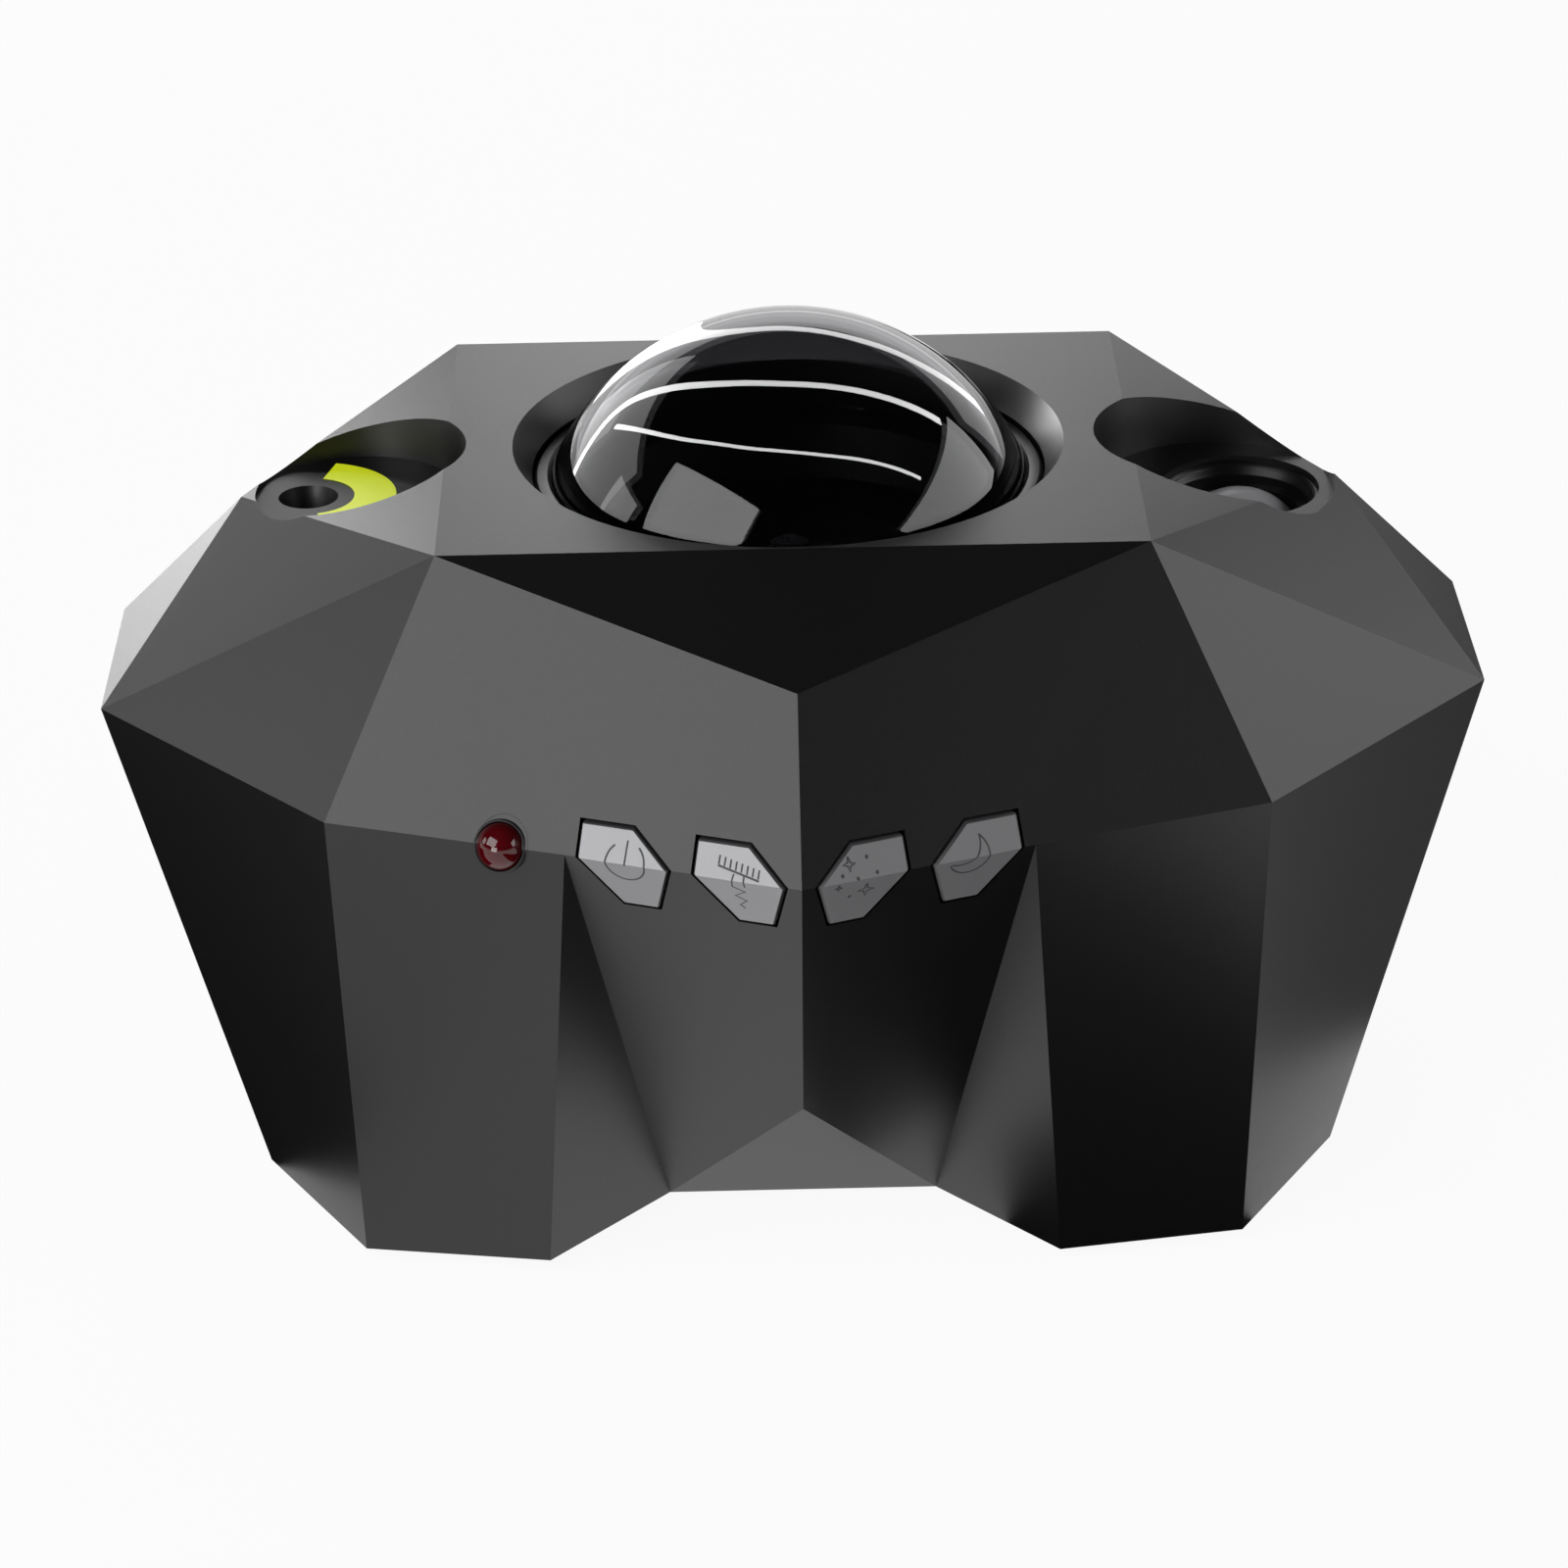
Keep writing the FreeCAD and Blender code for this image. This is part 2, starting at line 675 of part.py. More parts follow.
def make_button_screws():
    screws = []
    for sx in (-1, 1):
        frame = bow_frame(sx)
        back = BUTTON_BOARD_START + BUTTON_BOARD_THICKNESS
        for along, up in button_post_places():
            tip = BUTTON_BOARD_START - SCREW_BITE / 2
            shank = frame.rod(SCREW_PILOT, along, up, tip, back)
            head = frame.rod(SCREW_HEAD_RADIUS, along, up, back, back + SCREW_HEAD)
            screws.append(fused([shank, head]))
    node("button_board_screws", Part.makeCompound(screws))


def receiver_cut():
    frame = receiver_frame()
    return frame.rod(RECEIVER_RADIUS + FIT, RECEIVER_OFFSET, 0, -WALL, RECEIVER_FLANGE_DEPTH)


def make_receiver():
    frame = receiver_frame()
    bore = RECEIVER_RADIUS - RECEIVER_RING_WALL
    end = RECEIVER_RING_LENGTH - RECEIVER_RING_PROUD
    ring = frame.rod(RECEIVER_RADIUS, RECEIVER_OFFSET, 0, -RECEIVER_RING_PROUD, end)
    flange_end = RECEIVER_FLANGE_DEPTH + RECEIVER_FLANGE
    flange_radius = RECEIVER_RADIUS + RECEIVER_FLANGE
    flange = frame.rod(flange_radius, RECEIVER_OFFSET, 0, RECEIVER_FLANGE_DEPTH, flange_end)
    hole = frame.rod(bore, RECEIVER_OFFSET, 0, -RECEIVER_RING_PROUD - 1, end + 1)
    node("receiver_ring", fused([ring, flange]).cut(hole))
    lens_radius = bore - RUNNING_FIT
    rise = RECEIVER_DOME_PROUD
    ball_radius = (lens_radius ** 2 + rise ** 2) / (2 * rise)
    body = frame.rod(lens_radius, RECEIVER_OFFSET, 0, -rise, RECEIVER_FLANGE_DEPTH)
    ball_centre = frame.at(RECEIVER_OFFSET, 0, ball_radius - rise)
    cap = frame.rod(lens_radius, RECEIVER_OFFSET, 0, -rise, 0)
    dome = cap.common(Part.makeSphere(ball_radius, ball_centre))
    stub = frame.rod(lens_radius, RECEIVER_OFFSET, 0, 0, RECEIVER_FLANGE_DEPTH)
    node("receiver_window", fused([dome, stub]))
    half = RECEIVER_BOARD_WIDTH / 2
    tall = RECEIVER_BOARD_HEIGHT / 2
    low, high = RECEIVER_OFFSET - half, RECEIVER_OFFSET + half
    outline = [(low, -tall), (high, -tall), (high, tall), (low, tall)]
    board = frame.prism(outline, end, end + RECEIVER_BOARD_THICKNESS)
    eye = frame.rod(bore - FIT, RECEIVER_OFFSET, 0, RECEIVER_FLANGE_DEPTH + FACE_GAP, end)
    node("receiver_board", fused([board, eye]))


def quarters(x, y):
    return [(x * sx, y * sy) for sx in (1, -1) for sy in (1, -1)]


def wall_rib(x, y, reach, low, high):
    """An upright rib from a post out towards the nearest wall, level and square to the wall."""
    rib = block(0, reach, -RIB / 2, RIB / 2, low, high)
    corners = casing_corners()
    along = corners["base_outer", 1, 1] - corners["base_side", 1, 1]
    out = Vector(along.y, -along.x, 0)
    if abs(x) < POST_X:
        side = corners["base_inner", 1, 1] - corners["base_outer", 1, 1]
        out = Vector(side.y, -side.x, 0)
    if abs(y) < 1e-6:
        out = Vector(1, 0, 0)
    out = Vector(abs(out.x) * (1 if x > 0 else -1), abs(out.y) * (1 if y > 0 else -1), 0)
    angle = math.degrees(math.atan2(out.y, out.x))
    rib.Placement = FreeCAD.Placement(Vector(x, y, 0), Rotation(UP, angle))
    return rib


COVER_TOP = BASE_Z + COVER_RECESS + COVER_THICKNESS
CASE_POSTS = quarters(POST_X, POST_Y)
COVER_BOSSES = quarters(COVER_BOSS_X, COVER_BOSS_Y) + [(COVER_BOSS_SIDE_X, 0), (-COVER_BOSS_SIDE_X, 0)]
CHASSIS_BOSSES = quarters(CHASSIS_BOSS_X, CHASSIS_BOSS_Y)
POST_SEAT_Z = WAIST_Z - POST_SEAT_DEPTH
CHASSIS_Z = BASE_Z + CHASSIS_HEIGHT
CHASSIS_TOP = CHASSIS_Z + CHASSIS_THICKNESS
WALL_REACH = 22.0


def waist_lip():
    """The lower shell's tongue, inside the upper shell's foot."""
    root = lower_hull(WALL - LIP_ROOT_SINK).cut(lower_hull(WALL + LIP_CLEARANCE + LIP_WALL))
    root = root.common(slab(WAIST_Z - LIP_ROOT, WAIST_Z + 1))
    tongue = upper_hull(WALL + LIP_CLEARANCE).cut(upper_hull(WALL + LIP_CLEARANCE + LIP_WALL))
    tongue = tongue.common(slab(WAIST_Z - 1, WAIST_Z + LIP_HEIGHT))
    return root, tongue


def make_lower_shell():
    body = lower_hull().cut(lower_hull(WALL))
    parts = [body, *waist_lip()]
    inside = lower_hull(WALL / 2)
    for x, y in CASE_POSTS:
        parts.append(cylinder(POST_RADIUS, COVER_TOP, WAIST_Z, x, y))
        parts.append(wall_rib(x, y, WALL_REACH, COVER_TOP, WAIST_Z - LIP_ROOT).common(inside))
    for x, y in COVER_BOSSES:
        top = COVER_TOP + COVER_BOSS_HEIGHT
        parts.append(cylinder(COVER_BOSS_RADIUS, COVER_TOP, top, x, y))
        parts.append(wall_rib(x, y, WALL_REACH, COVER_TOP, top).common(inside))
    for post in button_posts():
        parts.append(post.common(inside))
    shell = fused(parts)
    cuts = [button_pockets(), receiver_cut()] + button_pilots()
    for x, y in CASE_POSTS:
        cuts.append(cylinder(POST_BORE, BASE_Z, POST_SEAT_Z, x, y))
        cuts.append(cylinder(POST_THROAT, BASE_Z, ROOF_Z, x, y))
    for x, y in COVER_BOSSES:
        cuts.append(cylinder(SCREW_PILOT, COVER_TOP - 1, COVER_TOP + SCREW_BITE, x, y))
    cuts += socket_cuts()
    node("lower_shell", shell.cut(cuts))


LASER_PAD_Z = BASE_Z + LASER_PAD_HEIGHT
MOON_PAD_Z = BASE_Z + MOON_PAD_HEIGHT
SEAT_Z = ROOF_Z - DOME_SEAT_DEPTH
LASER_BOSS_Z = LASER_PAD_Z - LASER_MOUTH_DEPTH - WINDOW_THICKNESS - FIT


def recess(x, radius, flare, floor, grow=0.0):
    """A flared round recess, from its flat floor up past the roof."""
    height = ROOF_Z + 1 - floor + grow
    low = radius + grow - flare * grow
    return Part.makeCone(low, low + flare * height, height, Vector(x, 0, floor - grow))


def dome_recess():
    cut = cone(DOME_SEAT_RADIUS, DOME_RECESS_RADIUS, ROOF_Z - DOME_CONE_DEPTH, ROOF_Z)
    seat = cylinder(DOME_SEAT_RADIUS, SEAT_Z, ROOF_Z - DOME_CONE_DEPTH)
    bore = cylinder(DOME_SEAT_BORE, SEAT_Z - DOME_SEAT_WALL, SEAT_Z)
    funnel_foot = SEAT_Z - DOME_SEAT_WALL - SHROUD_DROP
    funnel = cone(SHROUD_RADIUS, DOME_SEAT_BORE, funnel_foot, SEAT_Z - DOME_SEAT_WALL)
    return fused([cut, seat, bore, funnel])


def dome_cup():
    low = SEAT_Z - DOME_SEAT_WALL
    wide = DOME_SEAT_RADIUS + DOME_SEAT_WALL
    cup = cylinder(wide, low, ROOF_Z - DOME_CONE_DEPTH)
    flare = cone(wide, DOME_RECESS_RADIUS + DOME_SEAT_WALL, ROOF_Z - DOME_CONE_DEPTH, ROOF_Z)
    inner, outer = SHROUD_RADIUS + SHROUD_WALL, DOME_SEAT_BORE + SHROUD_WALL
    shroud = cone(inner, outer, low - SHROUD_DROP, low)
    return fused([cup, flare, shroud])


def make_upper_shell():
    outer = upper_hull()
    cups = [dome_cup()]
    cups.append(recess(LASER_RECESS_X, LASER_RECESS_RADIUS, LASER_RECESS_FLARE, LASER_PAD_Z, WALL))
    cups.append(recess(MOON_RECESS_X, MOON_RECESS_RADIUS, MOON_RECESS_FLARE, MOON_PAD_Z, WALL))
    boss_radius = WINDOW_RADIUS + FIT + LASER_BOSS_WALL
    cups.append(cylinder(boss_radius, LASER_BOSS_Z, LASER_PAD_Z, LASER_X))
    for x, y in CASE_POSTS:
        cups.append(cylinder(POST_RADIUS, WAIST_Z, ROOF_Z, x, y))
        cups.append(wall_rib(x, y, WALL_REACH, WAIST_Z + LIP_HEIGHT + LIP_ROOT, ROOF_Z))
    for x, y in CHASSIS_BOSSES:
        cups.append(cylinder(CHASSIS_BOSS_RADIUS, WAIST_Z, ROOF_Z, x, y))
    cavity = upper_hull(WALL)
    shell = outer.cut(cavity.cut(cups))
    legs = [cylinder(CHASSIS_BOSS_RADIUS, CHASSIS_TOP, WAIST_Z + 1, x, y) for x, y in CHASSIS_BOSSES]
    shell = fused([shell] + legs)
    cuts = [dome_recess(), button_pockets(), receiver_cut()]
    cuts.append(recess(LASER_RECESS_X, LASER_RECESS_RADIUS, LASER_RECESS_FLARE, LASER_PAD_Z))
    cuts.append(recess(MOON_RECESS_X, MOON_RECESS_RADIUS, MOON_RECESS_FLARE, MOON_PAD_Z))
    cuts.append(cylinder(MOON_BORE_RADIUS, MOON_PAD_Z - 2 * WALL, ROOF_Z, MOON_X))
    mouth_foot = LASER_PAD_Z - LASER_MOUTH_DEPTH
    cuts.append(cone(LASER_THROAT_RADIUS, LASER_MOUTH_RADIUS, mouth_foot, LASER_PAD_Z, LASER_X))
    cuts.append(cylinder(WINDOW_RADIUS + FIT, LASER_BOSS_Z, mouth_foot, LASER_X))
    for x, y in CASE_POSTS:
        cuts.append(cylinder(SCREW_PILOT, WAIST_Z - 1, WAIST_Z + SCREW_BITE, x, y))
    for x, y in CHASSIS_BOSSES:
        cuts.append(cylinder(SCREW_PILOT, CHASSIS_TOP - 1, CHASSIS_TOP + SCREW_BITE, x, y))
    node("upper_shell", shell.cut(cuts))


def make_dome():
    shoulder = ROOF_Z - DOME_SHOULDER_DEPTH
    rise = DOME_RISE + DOME_SHOULDER_DEPTH
    ball = (DOME_RADIUS ** 2 + rise ** 2) / (2 * rise)
    centre = Vector(0, 0, shoulder + rise - ball)
    flange_top = SEAT_Z + DOME_FLANGE

    def cap(inset):
        skirt = cylinder(DOME_RADIUS - inset, SEAT_Z, shoulder)
        crown = cylinder(DOME_RADIUS - inset, shoulder, shoulder + rise)
        return skirt.fuse(crown.common(Part.makeSphere(ball - inset, centre)))

    flange = cylinder(DOME_FLANGE_RADIUS, SEAT_Z, flange_top)
    node("dome_cover", fused([cap(0), flange]).cut(cap(DOME_WALL)))
    top = ROOF_Z - RING_DEPTH
    ring = tube(DOME_SEAT_RADIUS - FACE_GAP, DOME_RADIUS + FIT, flange_top, top)
    node("dome_ring", ring)


def make_laser_front():
    low = LASER_BOSS_Z
    node("laser_window", cylinder(WINDOW_RADIUS, low + FIT, low + FIT + WINDOW_THICKNESS, LASER_X))
    label = tube(LABEL_OUTER_RADIUS, LABEL_INNER_RADIUS, LASER_PAD_Z, LASER_PAD_Z + LABEL_THICKNESS)
    far = 3 * LABEL_OUTER_RADIUS
    angle = math.radians(LABEL_HALF_ANGLE)
    edge = Vector(math.cos(angle) * far, math.sin(angle) * far, LASER_PAD_Z - 1)
    fan = [Vector(0, 0, LASER_PAD_Z - 1), Vector(edge.x, -edge.y, edge.z)]
    fan += [Vector(far * 2, 0, edge.z), edge]
    label = label.common(prism(fan, UP * 3))
    label.translate(Vector(LASER_X, 0, 0))
    node("laser_label", label)


def gear_blank(teeth, module, low, thickness, phase=0.0):
    """A spur gear's solid, with straight flanks, that are parallel below the pitch line on a pinion."""
    pitch = teeth * module / 2
    tip, root = pitch + module, pitch - DEDENDUM * module
    slope = math.tan(math.radians(PRESSURE_ANGLE))
    half_pitch = math.pi * module / 4 - GEAR_BACKLASH / 2
    half_tip = (half_pitch - module * slope) / tip
    root_slope = slope if teeth > UNDERCUT_TEETH else 0
    half_root = (half_pitch + DEDENDUM * module * root_slope) / root
    points = []
    for tooth in range(teeth):
        middle = phase + tooth * 2 * math.pi / teeth
        for radius, turn in ((root, -half_root), (tip, -half_tip), (tip, half_tip), (root, half_root)):
            angle = middle + turn
            points.append(Vector(radius * math.cos(angle), radius * math.sin(angle), low))
    return prism(points, UP * thickness)


RIPPLE_PITCH_RADIUS = RIPPLE_TEETH * GEAR_MODULE / 2
MOTOR_Y = RIPPLE_PITCH_RADIUS + PINION_TEETH * GEAR_MODULE / 2
GEAR_Z = BASE_Z + RIPPLE_GEAR_HEIGHT
RIPPLE_BORE = RIPPLE_PITCH_RADIUS - DEDENDUM * GEAR_MODULE - RIPPLE_RIM
DISC_Z = GEAR_Z + RIPPLE_SEAT
SPIDER_TOP = GEAR_Z - FACE_GAP
HOUSING_TOP = SPIDER_TOP
HUB_TOP = GEAR_Z + RIPPLE_GEAR_THICKNESS + RIPPLE_SEAT


def make_ripple():
    """The turning ripple lens in its toothed rim, on a steel shaft."""
    gear = gear_blank(RIPPLE_TEETH, GEAR_MODULE, GEAR_Z, RIPPLE_GEAR_THICKNESS)
    ledge = cylinder(RIPPLE_BORE - RIPPLE_SEAT, GEAR_Z - 1, DISC_Z)
    pocket = cylinder(RIPPLE_BORE, DISC_Z, GEAR_Z + RIPPLE_GEAR_THICKNESS + 1)
    node("ripple_gear", gear.cut(fused([ledge, pocket])))
    wave_low = DISC_Z + RIPPLE_DISC_THICKNESS
    disc = cylinder(RIPPLE_BORE - RUNNING_FIT, DISC_Z, wave_low)
    rings = []
    radius = RIPPLE_HUB_RADIUS + RIPPLE_WAVE_PITCH / 2
    while radius + RIPPLE_WAVE_PITCH / 2 < RIPPLE_BORE:
        bead = Part.makeTorus(radius, RIPPLE_WAVE_HEIGHT, Vector(0, 0, wave_low))
        rings.append(bead.common(slab(DISC_Z + RIPPLE_DISC_THICKNESS / 2, HUB_TOP)))
        radius += RIPPLE_WAVE_PITCH
    hub = cylinder(RIPPLE_HUB_RADIUS, GEAR_Z, HUB_TOP)
    bore = cylinder(SHAFT_RADIUS + RUNNING_FIT, GEAR_Z - 1, HUB_TOP + 1)
    node("ripple_disc", fused([disc, hub] + rings).cut(bore))
    shaft_top = HUB_TOP + FACE_GAP + 2 * CLIP_THICKNESS
    node("ripple_shaft", cylinder(SHAFT_RADIUS, SPIDER_TOP - SHAFT_SINK, shaft_top))
    clip_low = HUB_TOP + FACE_GAP
    node("shaft_clip", tube(CLIP_RADIUS, SHAFT_RADIUS, clip_low, clip_low + CLIP_THICKNESS))
    turn = math.pi + math.pi / PINION_TEETH
    pinion_low = GEAR_Z - (PINION_THICKNESS - RIPPLE_GEAR_THICKNESS) / 2
    pinion = gear_blank(PINION_TEETH, GEAR_MODULE, 0, PINION_THICKNESS, math.pi / 2 + turn)
    shaft_hole = cylinder(MOTOR_SHAFT_RADIUS + RUNNING_FIT, -1, PINION_THICKNESS + 1)
    pinion = pinion.cut(shaft_hole)
    pinion.translate(Vector(0, MOTOR_Y, pinion_low))
    node("ripple_pinion", pinion)


def make_motor(name, radius, length, top, shaft_top, x, y):
    body = cylinder(radius, top - length, top, x, y)
    shaft = cylinder(MOTOR_SHAFT_RADIUS, top, shaft_top, x, y)
    node(name, fused([body, shaft]))


MOTOR_TOP = GEAR_Z - PINION_THICKNESS / 2 - MOTOR_EAR
SINK_TOP = CHASSIS_TOP + HEAT_SINK_BASE
LED_BOARD_TOP = SINK_TOP + LED_BOARD_THICKNESS


def make_light_housing():
    inner = HOUSING_RADIUS - HOUSING_WALL
    wall = tube(HOUSING_RADIUS, inner, CHASSIS_TOP, HOUSING_TOP)
    flange = tube(HOUSING_FLANGE_RADIUS, inner, CHASSIS_TOP, CHASSIS_TOP + HOUSING_FLANGE)
    hub = cylinder(SPIDER_HUB_RADIUS, SPIDER_TOP - SHAFT_SINK, SPIDER_TOP)
    parts = [wall, flange, hub]
    for arm in range(SPIDER_ARMS):
        bar = block(0, inner + 1, -SPIDER_WIDTH / 2, SPIDER_WIDTH / 2, 0, SPIDER_THICKNESS)
        place = Vector(0, 0, SPIDER_TOP - SPIDER_THICKNESS)
        bar.Placement = FreeCAD.Placement(place, Rotation(UP, 30 + arm * 360 / SPIDER_ARMS))
        parts.append(bar)
    reach = MOTOR_Y + MOTOR_RADIUS
    ear = block(-MOTOR_RADIUS, MOTOR_RADIUS, inner + 1, reach, MOTOR_TOP, MOTOR_TOP + MOTOR_EAR)
    cheek_end = MOTOR_Y - MOTOR_RADIUS - FIT
    cheek = block(-RIB / 2, RIB / 2, inner + 1, cheek_end, MOTOR_TOP - MOTOR_CHEEK, MOTOR_TOP)
    parts += [ear, cheek]
    cuts = [cylinder(SHAFT_RADIUS, SPIDER_TOP - SHAFT_SINK, SPIDER_TOP + 1)]
    cuts.append(cylinder(MOTOR_SHAFT_RADIUS + SLIDE_FIT, MOTOR_TOP - 1, MOTOR_TOP + 3, 0, MOTOR_Y))
    node("light_housing", fused(parts).cut(cuts))


def make_light_engine():
    side = HEAT_SINK_SIDE / 2
    plate = cylinder(HOUSING_RADIUS - HOUSING_WALL - SLIDE_FIT, CHASSIS_TOP, SINK_TOP)
    parts = [plate]
    step = (HEAT_SINK_SIDE - HEAT_SINK_FIN) / (HEAT_SINK_FINS - 1)
    for fin in range(HEAT_SINK_FINS):
        x = -side + fin * step
        low = CHASSIS_Z - HEAT_SINK_DROP
        parts.append(block(x, x + HEAT_SINK_FIN, -side, side, low, CHASSIS_TOP))
    node("heat_sink", fused(parts))
    board_radius = HOUSING_RADIUS - HOUSING_WALL - SLIDE_FIT
    node("led_board", cylinder(board_radius, SINK_TOP, LED_BOARD_TOP))
    chips = []
    lenses = []
    for led in range(LED_COUNT):
        angle = math.pi / 4 + led * 2 * math.pi / LED_COUNT
        x, y = LED_RING_RADIUS * math.cos(angle), LED_RING_RADIUS * math.sin(angle)
        half = LED_SIDE / 2
        top = LED_BOARD_TOP + LED_HEIGHT
        chip = block(x - half, x + half, y - half, y + half, LED_BOARD_TOP, top)
        chips.append(chip)
        lens = crowned_disc(LED_LENS_RADIUS, LED_BOARD_TOP, LED_LENS_HEIGHT / 2, LED_LENS_HEIGHT / 2, x, y)
        lenses.append(lens.cut(block(x - half, x + half, y - half, y + half, 0, top)))
    node("colour_leds", Part.makeCompound(chips))
    node("led_lenses", Part.makeCompound(lenses))
    shaft_top = GEAR_Z + PINION_THICKNESS / 2 + RIPPLE_GEAR_THICKNESS / 2
    make_motor("ripple_motor", MOTOR_RADIUS, MOTOR_LENGTH, MOTOR_TOP, shaft_top, 0, MOTOR_Y)


GRATING_Z = BASE_Z + GRATING_GEAR_HEIGHT
GRATING_PITCH_RADIUS = GRATING_TEETH * GRATING_MODULE / 2
GRATING_MOTOR_X = LASER_X + GRATING_PITCH_RADIUS + GRATING_PINION_TEETH * GRATING_MODULE / 2
COLLAR_FOOT = GRATING_Z - GRATING_COLLAR_HEIGHT
TUBE_TOP = GRATING_Z - FACE_GAP
LASER_TOP = COLLAR_FOOT - LASER_TIP_GAP


def make_star_engine():
    """The laser in its holder, and the turning grating above it."""
    gear = gear_blank(GRATING_TEETH, GRATING_MODULE, GRATING_Z, GRATING_GEAR_THICKNESS)
    collar = cylinder(GRATING_COLLAR_RADIUS, COLLAR_FOOT, GRATING_Z)
    beam = cylinder(GRATING_FILM_RADIUS - SEAT_STEP, COLLAR_FOOT - 1, ROOF_Z)
    film_low = GRATING_Z + GRATING_GEAR_THICKNESS - GRATING_FILM_THICKNESS
    seat = cylinder(GRATING_FILM_RADIUS, film_low, ROOF_Z)
    wheel = fused([gear, collar]).cut(fused([beam, seat]))
    wheel.translate(Vector(LASER_X, 0, 0))
    node("grating_gear", wheel)
    film = cylinder(GRATING_FILM_RADIUS - RUNNING_FIT, film_low, film_low + GRATING_FILM_THICKNESS, LASER_X)
    node("grating_film", film)
    turn = math.pi / GRATING_PINION_TEETH
    pinion = gear_blank(GRATING_PINION_TEETH, GRATING_MODULE, GRATING_Z, PINION_THICKNESS, math.pi + turn)
    pinion = pinion.cut(cylinder(MOTOR_SHAFT_RADIUS + RUNNING_FIT, 0, ROOF_Z))
    pinion.translate(Vector(GRATING_MOTOR_X, 0, 0))
    node("grating_pinion", pinion)
    bore = GRATING_COLLAR_RADIUS + RUNNING_FIT
    sleeve = cylinder(GRATING_TUBE_RADIUS, CHASSIS_TOP, TUBE_TOP, LASER_X)
    foot = cylinder(HOLDER_FOOT_RADIUS, CHASSIS_TOP, CHASSIS_TOP + HOLDER_FOOT, LASER_X)
    shelf_top = GRATING_Z - FACE_GAP - GRATING_MODULE
    shelf_low = shelf_top - HOLDER_WALL
    shelf_end = GRATING_MOTOR_X + GRATING_MOTOR_RADIUS
    half = GRATING_MOTOR_RADIUS
    shelf = block(LASER_X, shelf_end, -half, half, shelf_low, shelf_top)
    holder = fused([sleeve, foot, shelf])
    cuts = [cylinder(bore, COLLAR_FOOT - FACE_GAP, ROOF_Z, LASER_X)]
    cuts.append(cylinder(LASER_BODY_RADIUS, 0, ROOF_Z, LASER_X))
    cuts.append(cylinder(MOTOR_SHAFT_RADIUS + SLIDE_FIT, shelf_low - 1, ROOF_Z, GRATING_MOTOR_X))
    node("laser_holder", holder.cut(cuts))
    node("laser_module", cylinder(LASER_BODY_RADIUS, LASER_TOP - LASER_BODY_LENGTH, LASER_TOP, LASER_X))
    shaft_top = GRATING_Z + PINION_THICKNESS
    motor = (GRATING_MOTOR_RADIUS, GRATING_MOTOR_LENGTH, shelf_low, shaft_top, GRATING_MOTOR_X, 0)
    make_motor("grating_motor", *motor)


BARREL_TOP = MOON_PAD_Z - BARREL_INSET
BARREL_FOOT = BARREL_TOP - BARREL_LENGTH


def make_moon_engine():
    """The moon lens barrel, with its lens, slide, condenser and light, in order from the top."""
    outer = MOON_BORE_RADIUS - RUNNING_FIT
    bore = MOON_LENS_RADIUS + RUNNING_FIT
    body = cylinder(outer, BARREL_FOOT, BARREL_TOP, MOON_X)
    flange_top = MOON_PAD_Z - WALL
    flange_low = flange_top - BARREL_FLANGE_THICKNESS
    flange = cylinder(outer + BARREL_FLANGE, flange_low, flange_top, MOON_X)
    flange = flange.common(upper_hull(WALL + FIT))
    step = BARREL_STEP_DEPTH
    mouth = cone(BARREL_STEP_RADIUS, outer - SEAT_STEP / 2, BARREL_TOP - step, BARREL_TOP, MOON_X)
    lens_z = BARREL_TOP - MOON_LENS_DEPTH
    well = cylinder(BARREL_STEP_RADIUS, BARREL_TOP - 2 * step, BARREL_TOP - step, MOON_X)
    tunnel = cylinder(bore, lens_z, BARREL_TOP, MOON_X)
    slide_z = BARREL_TOP - SLIDE_DEPTH
    mask = cylinder(bore - SEAT_STEP, slide_z, lens_z, MOON_X)
    lower = cylinder(bore, BARREL_FOOT - 1, slide_z, MOON_X)
    node("moon_barrel", fused([body, flange]).cut([mouth, well, tunnel, mask, lower]))
    node("moon_lens", crowned_disc(MOON_LENS_RADIUS, lens_z, MOON_LENS_EDGE, MOON_LENS_CROWN, MOON_X))
    radius = MOON_LENS_RADIUS
    node("moon_slide", cylinder(radius, slide_z - SLIDE_THICKNESS, slide_z, MOON_X))
    condenser_z = BARREL_TOP - CONDENSER_DEPTH
    spacer_top = slide_z - SLIDE_THICKNESS
    lens_foot = condenser_z - CONDENSER_THICKNESS
    lens = crowned_disc(radius, lens_foot, CONDENSER_THICKNESS, CONDENSER_CROWN, MOON_X)
    node("moon_condenser", lens)
    spacer = tube(radius, radius - SEAT_STEP / 2, condenser_z, spacer_top, MOON_X)
    node("slide_spacer", spacer.cut(lens))
    board = cylinder(outer, BARREL_FOOT - LED_BOARD_THICKNESS, BARREL_FOOT, MOON_X)
    half = LED_SIDE / 2
    chip = block(MOON_X - half, MOON_X + half, -half, half, BARREL_FOOT, BARREL_FOOT + LED_HEIGHT)
    node("moon_led_board", fused([board, chip]))


